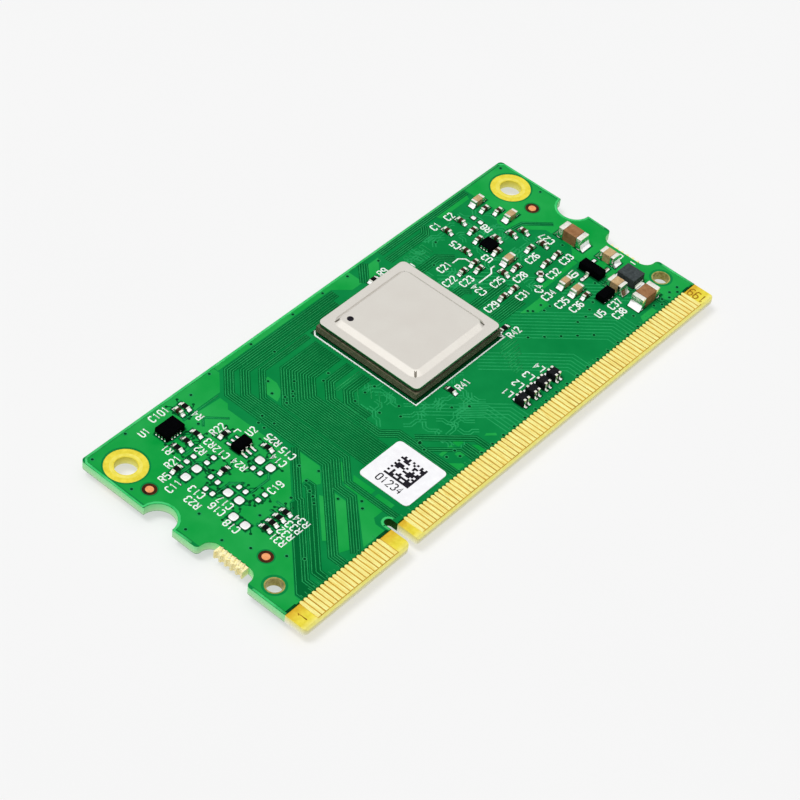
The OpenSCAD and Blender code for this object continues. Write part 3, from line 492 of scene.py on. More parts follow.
def evaluated_shape(thing):
    """The finished mesh of an object, which is then taken away."""
    ready = thing.evaluated_get(bpy.context.evaluated_depsgraph_get())
    mesh = bpy.data.meshes.new_from_object(ready)
    shape = bmesh.new()
    shape.from_mesh(mesh)
    bpy.data.objects.remove(thing)
    bpy.data.meshes.remove(mesh)
    return shape


def strips(runs, width, rise, level, rounded=True):
    """Low strips along the runs, with a round or a flat look."""
    line = bpy.data.curves.new("strip", "CURVE")
    line.dimensions = "3D"
    line.twist_mode = "Z_UP"
    line.bevel_depth = width / 2
    line.bevel_resolution = 1
    line.use_fill_caps = True
    for points in runs:
        spline = line.splines.new("POLY")
        spline.points.add(len(points) - 1)
        for point, (x, y) in zip(spline.points, points):
            point.co = (x, y, 0, 1)
    holder = bpy.data.objects.new("strip", line)
    scene.collection.objects.link(holder)
    shape = evaluated_shape(holder)
    bpy.data.curves.remove(line)
    bmesh.ops.remove_doubles(shape, verts=shape.verts, dist=1e-4)
    bmesh.ops.scale(shape, vec=(1, 1, 2 * rise / width), verts=shape.verts)
    bmesh.ops.translate(shape, vec=(0, 0, level), verts=shape.verts)
    bmesh.ops.recalc_face_normals(shape, faces=shape.faces)
    for face in shape.faces:
        face.smooth = rounded
    return shape


def slabs(outlines, low, high):
    """Flat slabs of the given outlines."""
    shape = bmesh.new()
    for outline in outlines:
        corners = [shape.verts.new((x, y, low)) for x, y in outline]
        face = shape.faces.new(corners)
        grown = bmesh.ops.extrude_face_region(shape, geom=[face])["geom"]
        raised = [part for part in grown if isinstance(part, bmesh.types.BMVert)]
        bmesh.ops.translate(shape, vec=(0, 0, high - low), verts=raised)
    bmesh.ops.recalc_face_normals(shape, faces=shape.faces)
    return shape


def discs(places, radius, low, high, sides=20):
    """Flat round discs."""
    shape = bmesh.new()
    for x, y in places:
        bmesh.ops.create_cone(
            shape, cap_ends=True, segments=sides, radius1=radius, radius2=radius,
            depth=high - low, matrix=Matrix.Translation((x, y, (low + high) / 2)),
        )
    return shape


def rings(places, inner, outer, low, high, sides):
    """Flat round washers, turned about each place."""
    shape = bmesh.new()
    profile = [(inner, low), (outer, low), (outer, high), (inner, high)]
    for x, y in places:
        corners = [shape.verts.new((x + r, y, z)) for r, z in profile]
        edges = [shape.edges.new((corners[i - 1], corners[i])) for i in range(4)]
        bmesh.ops.spin(
            shape, geom=corners + edges, cent=(x, y, 0), axis=(0, 0, 1),
            angle=math.tau, steps=sides, use_merge=True,
        )
    bmesh.ops.recalc_face_normals(shape, faces=shape.faces)
    return shape


def cuboid(shape, middle, size, turn=0):
    """Adds a box to the shape, about the coat's top, and gives its corners."""
    place = Matrix.Translation((middle.x, middle.y, TOP)) @ Matrix.Rotation(turn, 4, "Z")
    place = place @ Matrix.Diagonal((*size, 1))
    return bmesh.ops.create_cube(shape, size=1, matrix=place)["verts"]


def rectangle(left, near, right, far):
    """The corners of a rectangle."""
    return [(left, near), (right, near), (right, far), (left, far)]


def gathered(shapes):
    """One shape of several."""
    whole = bmesh.new()
    for shape in shapes:
        mesh = bpy.data.meshes.new("part")
        shape.to_mesh(mesh)
        shape.free()
        whole.from_mesh(mesh)
        bpy.data.meshes.remove(mesh)
    return whole


def beside(points, shift):
    """The same bent line moved sideways, to its left."""
    spots = [Vector(point) for point in points]
    ways = [(after - before).normalized() for before, after in zip(spots, spots[1:])]
    sides = [Vector((-way.y, way.x)) for way in ways]
    moved = []
    for index, here in enumerate(spots):
        first = sides[max(index - 1, 0)]
        second = sides[min(index, len(sides) - 1)]
        moved.append(tuple(here + (first + second) * shift / (1 + first.dot(second))))
    return moved


def bundle(points, count, pitch):
    """Lines running side by side about the given one."""
    middle = (count - 1) / 2
    return [beside(points, (index - middle) * pitch) for index in range(count)]


def spread(bundles):
    """The lines of each bundle: how many, how far apart, and along which places."""
    return [bundle(run(*points), count, pitch) for count, pitch, points in bundles]


def arc(centre, radius, start, end, steps=10):
    """Places along an arc, its angles in degrees."""
    turn = (end - start) / steps
    angles = [math.radians(start + index * turn) for index in range(steps + 1)]
    return [(centre[0] + radius * math.cos(a), centre[1] + radius * math.sin(a)) for a in angles]


def merged_copy(name):
    """A node's mesh in millimetres, its loose triangles joined to whole faces."""
    shape = bmesh.new()
    shape.from_mesh(nodes[name].data)
    shape.transform(Matrix.Scale(1 / MM, 4))
    bmesh.ops.remove_doubles(shape, verts=shape.verts, dist=5e-4)
    bmesh.ops.dissolve_limit(
        shape, angle_limit=math.radians(1), verts=shape.verts, edges=shape.edges)
    return shape


def solids_of(name):
    """Lowest and highest corner of each separate solid of a node."""
    shape = merged_copy(name)
    left = set(shape.verts)
    boxes = []
    while left:
        group, queue = set(), [left.pop()]
        while queue:
            vert = queue.pop()
            group.add(vert)
            for edge in vert.link_edges:
                other = edge.other_vert(vert)
                if other in left:
                    left.discard(other)
                    queue.append(other)
        low = Vector(min(v.co[i] for v in group) for i in range(3))
        high = Vector(max(v.co[i] for v in group) for i in range(3))
        boxes.append((low, high))
    shape.free()
    return sorted(boxes, key=lambda box: (round(box[0].x, 3), round(box[0].y, 3)))


def centres(name):
    """Middle of each separate solid of a node, seen from above."""
    return [((low.x + high.x) / 2, (low.y + high.y) / 2) for low, high in solids_of(name)]


def layered(outlines, rise, step):
    """Slabs in the coat, each a hair higher than the last, so that no two tops coincide."""
    return gathered(
        slabs([outline], TOP - SINK, TOP + rise + step * index)
        for index, outline in enumerate(outlines))


def softened(name, sharp=40):
    """Stands in for a node with its sharp edges rounded."""
    finish, slot, radius = LOOKS[name]
    shape = merged_copy(name)
    edges = [
        edge for edge in shape.edges
        if len(edge.link_faces) == 2 and edge.calc_face_angle() > math.radians(sharp)
    ]
    bmesh.ops.bevel(
        shape, geom=edges, offset=radius, offset_type="OFFSET", affect="EDGES",
        segments=2, profile=0.5, material=-1, clamp_overlap=True,
    )
    bmesh.ops.recalc_face_normals(shape, faces=shape.faces)
    for face in shape.faces:
        face.smooth = True
    for edge in shape.edges:
        if len(edge.link_faces) == 2:
            edge.smooth = edge.calc_face_angle() < math.radians(sharp)
    piece = new_piece("soft_" + name, shape, finish)
    piece.modifiers.new("even_shading", "WEIGHTED_NORMAL").keep_sharp = True
    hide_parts(name)
    return piece


# The board and the rounded stand-ins of its components

def board_body():
    """Stands in for the board, with its coated, sawn and torn sides each in their finish."""
    stub_low, stub_high, stub_in = 9.3, 13.3, 1.87
    mount_x, mount_y = MOUNT_HOLES[1]
    mount_r, key_r = 1.6, 0.8
    sides = [coated_side, strip_side, torn_laminate, hole_side, coat_lip]
    shape = merged_copy("circuit_board")
    cuts = [
        ((0, NEAR + COAT_START, 0), (0, 1, 0)),
        ((LEFT + stub_in, 0, 0), (1, 0, 0)), ((-LEFT - stub_in, 0, 0), (1, 0, 0)),
    ]
    for place, way in cuts:
        every = shape.verts[:] + shape.edges[:] + shape.faces[:]
        bmesh.ops.bisect_plane(shape, geom=every, plane_co=place, plane_no=way)
    shape.normal_update()
    for face in shape.faces:
        middle = face.calc_center_median()
        along = middle.y - NEAR
        if abs(middle.x) > -LEFT - stub_in and stub_low < along < stub_high:
            side = torn_laminate
        elif abs(face.normal.z) >= 0.5:
            continue
        elif math.hypot(abs(middle.x) - mount_x, middle.y - mount_y) < mount_r:
            side = hole_side
        elif abs(middle.x - LEFT - KEY_X) < key_r and along > COAT_START:
            side = coat_lip
        else:
            side = strip_side if along < COAT_START else coated_side
        face.material_index = 1 + sides.index(side)
    finish, slot, radius = LOOKS["circuit_board"]
    piece = new_piece("board_body", shape, finish)
    for side in sides:
        piece.data.materials.append(side)
    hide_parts("circuit_board")
    return piece


board_body()
for name, (finish, slot, radius) in LOOKS.items():
    if radius:
        softened(name)


def solder_domes(name, rise):
    """Solder standing on the lands of a node."""
    corner_share, top_share = 0.32, 0.85
    shape = bmesh.new()
    for low, high in solids_of(name):
        size = high - low
        made = cuboid(shape, (low + high) / 2, (size.x, size.y, 2 * rise))
        upright = [
            edge for edge in {e for vert in made for e in vert.link_edges}
            if abs(edge.verts[0].co.z - edge.verts[1].co.z) > rise
        ]
        bmesh.ops.bevel(
            shape, geom=upright, offset=corner_share * min(size.x, size.y), affect="EDGES",
            segments=3, profile=0.5, material=-1, clamp_overlap=True,
        )
    tops = [
        edge for edge in shape.edges
        if len(edge.link_faces) == 2 and min(vert.co.z for vert in edge.verts) > TOP
        and edge.calc_face_angle() > math.radians(60)
    ]
    bmesh.ops.bevel(
        shape, geom=tops, offset=top_share * rise, affect="EDGES", segments=3, profile=0.5,
        material=-1, clamp_overlap=True,
    )
    for face in shape.faces:
        face.smooth = True
    return new_piece("solder_on_" + name, shape, solder)


solder_domes("bare_lands", rise=0.16)
solder_domes("component_lands", rise=0.07)


# Copper under the green coat

def block(name, shape):
    """A passing object of the shape, for cutting with."""
    mesh = bpy.data.meshes.new(name)
    shape.to_mesh(mesh)
    shape.free()
    holder = bpy.data.objects.new(name, mesh)
    scene.collection.objects.link(holder)
    return holder


def cut_by(holder, cutter, operation):
    """Cuts the holder by another object."""
    cut = holder.modifiers.new(operation.lower(), "BOOLEAN")
    cut.operation = operation
    cut.solver = "EXACT"
    cut.use_self = operation == "DIFFERENCE"
    cut.object = cutter


def clearances():
    """Room left bare round the lands, the holes and the lines that cross the copper."""
    land_room, line_room, line_end, height = 0.2, 0.34, 0.3, 2
    boxes = bmesh.new()
    for name in ("component_lands", "bare_lands"):
        for low, high in solids_of(name):
            size = high - low + Vector((2 * land_room, 2 * land_room, 0))
            cuboid(boxes, (low + high) / 2, (size.x, size.y, height))
    rounds = [(MOUNT_HOLES, 2.55), (LOCATING_HOLES, 1.35), (centres("fiducial_dots"), 0.95)]
    holes = [discs(places, radius, TOP - 1, TOP + 1, sides=32) for places, radius in rounds]
    lines = bmesh.new()
    for start, end in CROSSINGS:
        start, end = Vector(spot(*start)), Vector(spot(*end))
        way = end - start
        size = (way.length + line_end, line_room, height)
        cuboid(lines, (end + start) / 2, size, math.atan2(way.y, way.x))
    return gathered([boxes, *holes, lines])


# Short lines that run through the broad copper.
CROSSINGS = [
    ((11.5, 27.6), (16.6, 27.6)), ((13.1, 26.6), (15, 24.6)), ((12.4, 25.7), (13.1, 26.4)),
    ((8.3, 24.2), (9.6, 24.2)), ((5.9, 22.6), (8.2, 22.6)), ((8.2, 22.6), (9.4, 21.4)),
    ((12.4, 20.6), (14.2, 20.6)), ((6.2, 18.3), (8.6, 18.3)), ((8.6, 18.3), (9.6, 17.3)),
    ((9.2, 15.9), (11.8, 15.9)), ((11.8, 15.9), (12.7, 16.8)), ((6.6, 12.6), (6.6, 11.4)),
    ((8.9, 12.9), (8.9, 11.6)), ((10.2, 13.2), (10.2, 11.9)),
]


def copper_pour():
    """Broad copper areas, seen as lighter green: the coat raised a little over them."""
    areas = [
        run((0.35, 2.9), (2.45, 2.9), (2.45, 3.75), (11, 12.3), (11.4, 12.35), (15.3, 16.25),
            (15.9, 17.3), (15.9, 25.5), (16.5, 26.1), (16.5, 27.2), (13.6, 27.4), (13.6, 27.8),
            (17.1, 27.8), (19.1, 29.8), (19.1, 30.65), (0.35, 30.65)),
        run((13, 12.6), (16.9, 16.5), (16.9, 13.5), (15.2, 11.8), (14.75, 12), (14.75, 13.3),
            (13.9, 13.2)),
        run((9.6, 6.6), (13.9, 10.9), (14.1, 10.5), (9.9, 6.3)),
        run((9.6, 4.35), (15.25, 10), (15.25, 8.45), (10.7, 3.9)),
        run((11.9, 3.1), (15.1, 3.1), (15.1, 4.3), (15.6, 4.95), (16.95, 4.95), (16.95, 10.1),
            (16.75, 9.9), (16.75, 8.25)),
        run((17, 10.5), (18.9, 12.4), (19, 12.15), (17.1, 10.25)),
        run((17.8, 7.3), (18.5, 7.3), (18.5, 10.3), (17.8, 9.7)),
        run((17.8, 4.6), (18.4, 4.6), (18.4, 6.8), (17.8, 6.8)),
        run((19.2, 30.1), (37.1, 30.1), (38.8, 28.5), (40.6, 28.5), (40.6, 30.7), (19.2, 30.7)),
        run((41.4, 30), (44.8, 30), (43, 28.2), (40.9, 28.2)),
        run((60.6, 30.6), (67.25, 30.6), (67.25, 3), (63.6, 3), (61.6, 5), (60.8, 12), (60.8, 14.9),
            (62.2, 16.2), (62.2, 19.9), (59, 23.1), (59, 24.4), (60.6, 26)),
        run((49.5, 13.4), (53.1, 13.4), (53, 11.95), (51, 12.1)),
        run((54.5, 14.6), (60.6, 14.6), (60.6, 14), (54.5, 14)),
        run((54.6, 30.1), (60.2, 30.1), (59.8, 29.3), (54.9, 29.3)),
        run((20.45, 22.7), (20.45, 24.7), (21.35, 25.75), (22.4, 25.9), (22.4, 24.6), (21.9, 23.6),
            (21.2, 23)),
        run((25.5, 7.1), (25.5, 8.5), (26, 9), (26.6, 9), (26.9, 8.7), (26.3, 7.9), (26.2, 7.1)),
        run((26.7, 4.6), (27.2, 4.1), (27.8, 3.5), (27.8, 3.15), (26.7, 3.15)),
        run((27, 6), (28.9, 6), (28.9, 5.6), (27, 5.6)),
        run((28.2, 4.9), (28.9, 4.9), (28.9, 4), (28.2, 4.2)),
        run((30.5, 4.5), (31.1, 3.9), (31.1, 3.1), (30.5, 3.1)),
        run((29.3, 6.1), (29.6, 6.1), (30.2, 5.5), (30.2, 5.3), (29.3, 5.3)),
        run((32.5, 4.4), (32.9, 4.5), (33.7, 3.8), (33.5, 3.5)),
        run((58.4, 3.05), (61, 3.05), (61, 3.8), (58.9, 3.8)),
    ]
    raised = merged_copy("solder_mask_top")
    bmesh.ops.translate(raised, vec=(0, 0, POUR_RISE), verts=raised.verts)
    bmesh.ops.triangulate(raised, faces=raised.faces)
    holder = block("coat", raised)
    cutters = [block("areas", slabs(areas, TOP - 1, TOP + 1)), block("room", clearances())]
    cut_by(holder, cutters[0], "INTERSECT")
    cut_by(holder, cutters[1], "DIFFERENCE")
    shape = evaluated_shape(holder)
    for cutter in cutters:
        bpy.data.objects.remove(cutter)
    return new_piece("copper_pour", shape, coat_light)


# Lines that run side by side: how many, how far apart, and along which places.
BUNDLES = [
    # From the far edge down the left side to the short row of contacts
    (4, 0.28, ((37, 29.4), (20.1, 29.4), (17.62, 26.92), (17.62, 13.2), (8.9, 4.48), (8.9, 2.95))),
    (4, 0.28, ((36, 28.2), (21.3, 28.2), (18.75, 25.65), (18.75, 13.1), (16.05, 10.4),
               (16.05, 8.4), (10.75, 3.1))),
    (3, 0.27, ((30, 27.05), (22.7, 27.05), (19.75, 24.1), (19.75, 12.45), (17.35, 10.05), (17.35, 3.4))),
    (3, 0.3, ((17, 17), (12.05, 12.05), (12.05, 11.75), (4.6, 4.3), (4.6, 2.95))),
    (3, 0.42, ((14.2, 12.9), (14.2, 12.3), (6.2, 4.3), (6.2, 2.95))),
    # From the processor's left side
    (13, 0.29, ((30, 24.1), (25.1, 24.1), (22.2, 21.2), (22.2, 10.4))),
    (4, 0.28, ((30, 20.9), (26.6, 20.9), (24.75, 19.05), (24.75, 12.3), (26.2, 10.85), (26.2, 3))),
    (4, 0.3, ((30, 18.6), (27, 18.6), (25.75, 17.35), (25.75, 14.6))),
    # Between the label and the processor
    (3, 0.32, ((27, 9.3), (31.5, 4.8), (31.5, 3))),
    (2, 0.3, ((26.7, 7.3), (29.2, 4.8), (29.2, 3))),
    (3, 0.3, ((30, 5), (30, 3))),
    (6, 0.28, ((46.8, 14.75), (51.2, 14.75))),
    # Right half
    (4, 0.26, ((45.4, 30.4), (60.4, 30.4))),
    (4, 0.26, ((45.2, 28.9), (51.6, 28.9), (52.5, 29.8))),
    (4, 0.28, ((40.6, 28.3), (42.8, 30.5))),
    (2, 0.3, ((58.6, 22.8), (61.1, 22.4), (63.6, 19.9))),
    (4, 0.3, ((46.4, 25.4), (49.6, 25.4), (51, 24))),
    (4, 0.32, ((46.4, 17.6), (52, 17.6))),
    (4, 0.3, ((46.4, 20.2), (47.6, 20.2), (48.4, 19.4))),
    (3, 0.36, ((60.2, 12), (60.2, 8), (62.6, 5.6), (62.6, 3))),
]

# Single lines.
LONE_LINES = [
    ((2.75, 3), (2.75, 3.75), (11.1, 12.1)), ((30, 19.7), (25.9, 19.7)), ((30, 19.4), (26.2, 19.4)),
    ((27.9, 18.1), (26.2, 16.4)), ((29.5, 17.7), (27.9, 16.1)), ((29.1, 16.1), (27.7, 14.7)),
    ((34.75, 9.9), (34.75, 8.5), (34.2, 8.4)), ((43.9, 11.6), (45.5, 11.6)), ((43.6, 11.3), (45.7, 11.3)),
    ((43, 11), (46, 11)), ((42.8, 10.5), (45.7, 10.5)), ((42.8, 10.1), (45.4, 10.1)),
    ((43, 9.7), (45, 9.7)), ((42.6, 9.4), (44.8, 9.4)), ((42.2, 9), (43.9, 9)),
    ((42.2, 8.7), (43.7, 8.7)), ((42, 8.2), (43.5, 8.2)), ((42, 7.9), (43.2, 7.9)),
]


def bare_bands():
    """Deep green between the lines and round the parts, where no copper lies under the coat."""
    margin = 0.15
    bands = []
    for count, pitch, points in BUNDLES:
        half = (count - 1) * pitch / 2 + margin
        path = run(*points)
        bands.append(beside(path, half) + beside(path, -half)[::-1])
    bands.append(
        run((2.6, 2.95), (4.2, 2.95), (4.2, 3.95), (11.2, 10.95), (11.9, 12), (11, 12.2), (2.6, 3.8)))
    shape = layered(bands, BAND_RISE, step=0.0001)
    return new_piece("bare_bands", shape, coat_gap)


def land_channels():
    """Short bare channels in the broad copper between the left-hand lands, ending in dots."""
    group_right, group_near, least_side = LEFT + 16, NEAR + 11, 0.35
    eighth = math.pi / 4
    random.seed(11)
    boxes = [box for name in ("component_lands", "bare_lands") for box in solids_of(name)]
    runs, dots = [], []
    for low, high in boxes:
        size = high - low
        middle = (low + high).to_2d() / 2
        if middle.x > group_right or middle.y < group_near or min(size.x, size.y) < least_side:
            continue
        for turn in random.sample(range(8), 3):
            way = Vector((math.cos(turn * eighth), math.sin(turn * eighth)))
            bend = way @ Matrix.Rotation(random.choice((-1, 1)) * eighth, 2)
            start = middle + way * (size.length / 3)
            knee = start + way * random.uniform(0.2, 0.5)
            end = knee + bend * random.uniform(0.15, 0.6)
            runs.append([tuple(start), tuple(knee), tuple(end)])
            dots.append(tuple(end))
    shape = strips(runs, width=0.26, rise=POUR_RISE + 0.006, level=TOP)
    new_piece("land_channels", shape, coat_gap)
    shape = discs(dots, radius=0.17, low=TOP - SINK, high=TOP + POUR_RISE + 0.008, sides=10)
    return new_piece("channel_dots", shape, dark_coat_and_painted_shade)


def land_frames():
    """Dark margins round the lands and the chips: partly where the coat stops short of the lands, partly
    painted shade round the chips' bases and the processor's base.
    """
    margin, processor_shade_width = 0.1, 0.4
    framed = [
        "component_lands", "bare_lands", "switch_chip_body", "supply_chip_body", "gate_chip_body",
        "converter_chip_body", "transistor_body", "inductor_body", "choke_bodies",
        "processor_substrate",
    ]
    outlines = []
    for name in framed:
        # Round the processor the margin is wide, a painted shade at its base.
        room = processor_shade_width if name == "processor_substrate" else margin
        for low, high in solids_of(name):
            outlines.append(rectangle(low.x - room, low.y - room, high.x + room, high.y + room))
    shape = layered(outlines, FRAME_RISE, step=0.00002)
    return new_piece("land_frames", shape, dark_coat_and_painted_shade)


def copper_lines():
    """Fine lines between the processor, the small parts and the edge contacts."""
    hairpin_left, hairpin_w, hairpin_near, hairpin_far = 46.8, 0.45, 26.4, 28
    stub_start, stub_least, stub_most = 0.24, 0.3, 0.75
    lines = sum(spread(BUNDLES), [])
    lines += [run(*points) for points in LONE_LINES + CROSSINGS]
    for index in range(4):
        left = hairpin_left + index * 2 * hairpin_w
        right = left + hairpin_w
        lines.append(run(
            (left, hairpin_near), (left, hairpin_far), (right, hairpin_far), (right, hairpin_near)))
    start = NEAR + COAT_START
    random.seed(5)
    for x, y in centres("edge_contacts_top"):
        lines.append([(x, start + stub_start), (x, start + random.uniform(stub_least, stub_most))])
    shape = strips(lines, TRACE_W, TRACE_RISE, TOP)
    return new_piece("copper_lines", shape, coat_line)


def inner_lines():
    """Lines of an inner layer, which show faintly: bundles, and pairs that wind about."""
    bundles = [
        (5, 0.5, ((33.4, 8.6), (37.2, 4.8), (37.2, 3))),
        (4, 0.5, ((30.4, 11.6), (35.4, 6.6), (35.4, 3))),
        (9, 0.5, ((47.4, 13), (55.4, 5), (55.4, 3))),
        (6, 0.5, ((40.4, 12), (47.6, 4.8), (47.6, 3))),
        (6, 0.5, ((55.6, 12.4), (61.4, 6.6))),
        (5, 0.6, ((47, 23.2), (53, 17.2))),
    ]
    # Left, near, right and far end of each patch of winding pairs, and how many it holds
    patches = [
        (28.5, 6, 36, 11.8, 26), (46.6, 20.6, 50.4, 28, 18), (52.4, 14.2, 60, 28, 34),
        (26, 12.4, 30, 18, 10),
    ]
    line_w, line_rise, step_up, pair_pitch = 0.13, 0.01, 0.00005, 0.36
    groups = spread(bundles)
    random.seed(21)
    for left, near, right, far, count in patches:
        for index in range(count):
            x, y = random.uniform(left, right), random.uniform(near, far)
            turn = random.randrange(8)
            path = [(x, y)]
            for step in range(random.randint(2, 4)):
                turn += random.choice((-1, 1))
                length = random.uniform(0.4, 1.1)
                x += length * math.cos(turn * math.pi / 4)
                y += length * math.sin(turn * math.pi / 4)
                path.append((x, y))
            groups.append(bundle(run(*path), 2, pair_pitch))
    shape = gathered(
        strips(lines, line_w, line_rise + step_up * index, TOP, rounded=False)
        for index, lines in enumerate(groups))
    return new_piece("inner_lines", shape, coat_faint)


def coated_vias():
    """Small plated holes closed by the coat, a low ring round a dimple."""
    places = [
        (0.9, 30.2), (5.8, 30.4), (18.2, 30.4), (24.6, 30.4), (31.2, 30.4), (0.9, 24.6),
        (0.95, 17.1), (2.5, 13.6), (5.6, 7.7), (14.4, 13.1), (16.3, 13.1), (11.6, 12.6),
        (14.9, 9.2), (16.4, 7.3), (15.7, 6.6), (27.3, 5.2), (28.4, 4.3), (26.9, 8.5), (36, 30.4),
        (40, 30.3), (44.4, 29.6), (33.1, 9.4), (34.6, 8.2), (29.2, 13.4), (28.2, 12.3), (27, 14.2),
        (47.2, 10.4), (48.6, 9.2), (50.4, 13), (51.8, 11.8), (52.8, 11.8), (53.1, 8.1), (50, 8),
        (51.4, 6.8), (52.8, 5.6), (46.4, 16.6), (48.4, 24.9), (51.4, 27.2), (56.6, 27.4),
        (61.6, 17), (66.6, 30.2), (66.8, 24.4), (58.4, 4.4), (64.4, 9.8), (27.4, 21.8),
        (26.2, 21.4), (26.4, 17.1), (28.1, 17.2), (29.5, 17.1), (25.6, 27.9), (3.8, 10.9),
        (7.6, 13.2), (11.6, 17.4), (13.4, 18.6), (3.4, 17.6), (12.2, 26.2), (14.6, 29.6), (6.6, 6.2),
        (12.7, 10.5), (13.3, 11.2), (13.6, 11.9), (15.4, 15),
        (21.5, 22.6), (22.7, 22.6), (22.2, 22.1), (21, 21.9), (20.9, 23.9), (23.9, 23.5), (21.9, 25.4),
        (28.6, 5.2), (26.7, 8.4), (26.4, 7.5), (17.8, 22.4), (17.9, 20.8), (16.8, 22), (16.7, 21.1),
        (62.2, 3.3), (62.9, 3.8), (63.7, 3.4), (64.4, 3.9), (65.1, 3.3), (65.7, 3.8), (61.4, 3.8),
        (56.8, 8.9), (55.6, 8.4), (54.4, 8), (56.1, 10), (50.8, 12.6), (52.2, 12.6), (59.4, 10.6),
    ]
    row_left, row_pitch, row_along = 30.4, 1.8, 3.05
    places += [(row_left + row_pitch * index, row_along) for index in range(16)]
    spots = run(*places)
    shape = discs(spots, radius=0.25, low=TOP - SINK, high=TOP + 0.032)
    new_piece("via_rings", shape, coat_line)
    shape = discs(spots, radius=0.16, low=TOP - SINK, high=TOP + 0.034)
    new_piece("via_dimples", shape, coat_well)


def coat_edge():
    """The thinner, brighter margin of the coat along the board's outline, partly a painted highlight where
    the coat rounds over the edge.
    """
    inset = 0.17
    far = BOARD_W - inset
    latch_up, latch_r = 20, 2
    key_half, key_end = 0.5, 3.5
    sides = [
        [(inset, 2.8), (inset, 7.2)],
        [(inset, 15.5), *arc((0, latch_up), latch_r + inset, -88, 88), (inset, 30.3), (inset + 0.5, far)],
    ]
    runs = [run(*points) for points in sides]
    runs += [run(*((BOARD_L - x, y) for x, y in points)) for points in sides]
    runs.append(run((0.7, far), (BOARD_L - 0.7, far)))
    key_left = KEY_X - key_half - inset
    runs.append(run((key_left, 2.8), (key_left, 3.6)))
    runs.append(run(*arc((KEY_X, key_end), key_half + inset, 180, 0)))
    shape = strips(runs, 2 * inset, RIM_RISE, TOP)
    return new_piece("coat_edge", shape, coat_rim_highlight)


def coat_lips():
    """The dark end of the coat along the bare connector strip, wider beyond the contact rows."""
    lip_w, end_w = 0.16, 0.36
    y = COAT_START + 0.06
    lips = [run((start, y), (end, y)) for start, end in ((0.25, 15.6), (16.9, BOARD_L - 0.25))]
    new_piece("coat_lips", strips(lips, lip_w, LIP_RISE, TOP), coat_lip)
    y += (end_w - lip_w) / 2
    ends = [run((start, y), (end, y)) for start, end in ((0.3, 1.7), (13.8, 15.3), (65.6, 66.6))]
    new_piece("coat_end_lips", strips(ends, end_w, RIM_RISE, TOP), dark_coat_and_painted_shade)


def finger_tips():
    """Round ends of the contacts, which lap over the end of the coat."""
    places = [((low.x + high.x) / 2, high.y) for low, high in solids_of("edge_contacts_top")]
    shape = discs(places, radius=0.22, low=TOP - SINK, high=TOP + LIP_RISE + 0.003, sides=14)
    return new_piece("finger_tips", shape, gold)


def underside_copper():
    """Lines and coated holes on the underside."""
    bundles = [
        (9, 0.3, ((22, 3.2), (22, 5.6), (25.4, 9), (29, 9))),
        (9, 0.3, ((40, 3.2), (40, 6.6), (38, 8.6), (36, 8.6))),
        (7, 0.3, ((50, 3.2), (50, 7), (53, 10), (58, 10))),
        (6, 0.3, ((8, 3.2), (8, 6), (11, 9), (11, 14))),
        (5, 0.32, ((60, 3.2), (60, 12), (57, 15))),
        (5, 0.32, ((14, 28.6), (30, 28.6), (31.5, 27.1))),
        (4, 0.32, ((40, 28.8), (56, 28.8), (58, 26.8))),
    ]
    shape = strips(sum(spread(bundles), []), TRACE_W, TRACE_RISE, UNDER)
    new_piece("underside_lines", shape, coat_line)
    random.seed(3)
    spots = [spot(6 + 2.3 * index, 29.6 + random.uniform(-0.3, 0.3)) for index in range(24)]
    spots += [spot(5 + 2.9 * index, 4.1 + random.uniform(-0.4, 0.4)) for index in range(20)]
    shape = discs(spots, radius=0.25, low=UNDER - 0.022, high=UNDER + SINK)
    new_piece("underside_via_rings", shape, coat_line)
    shape = discs(spots, radius=0.15, low=UNDER - 0.024, high=UNDER + SINK)
    new_piece("underside_via_dimples", shape, coat_well)


copper_pour()
bare_bands()
land_channels()
land_frames()
copper_lines()
inner_lines()
coated_vias()
coat_edge()
coat_lips()
finger_tips()
underside_copper()


# Bare rings

def bare_rings(name, places, inner, outer, finish, sides):
    """Rings lying in the bare laminate."""
    shape = rings(places, inner, outer, low=BARE - 0.005, high=BARE + 0.01, sides=sides)
    return new_piece(name, shape, finish)


def fiducial_wells():
    """Dark laminate round the three copper dots."""
    places = centres("fiducial_dots")
    return bare_rings("fiducial_wells", places, inner=0.47, outer=0.79, finish=well_brown, sides=32)


def torn_ridges():
    """Ridges of torn glass cloth along the left break-off stub."""
    first, pitch, count = 9.65, 0.6, 6
    levels = [first + pitch * index for index in range(count)]
    runs = [run((1.25, y + 0.1), (1.88, y + 0.3)) for y in levels]
    shape = strips(runs, width=0.4, rise=0.12, level=BARE - SINK)
    return new_piece("torn_ridges", shape, torn_laminate)


def screw_rings():
    """Rings pressed into the laminate by the screw heads."""
    return bare_rings("screw_rings", MOUNT_HOLES, inner=1.36, outer=1.72, finish=ring_pale, sides=48)


fiducial_wells()
torn_ridges()
screw_rings()


# White ink

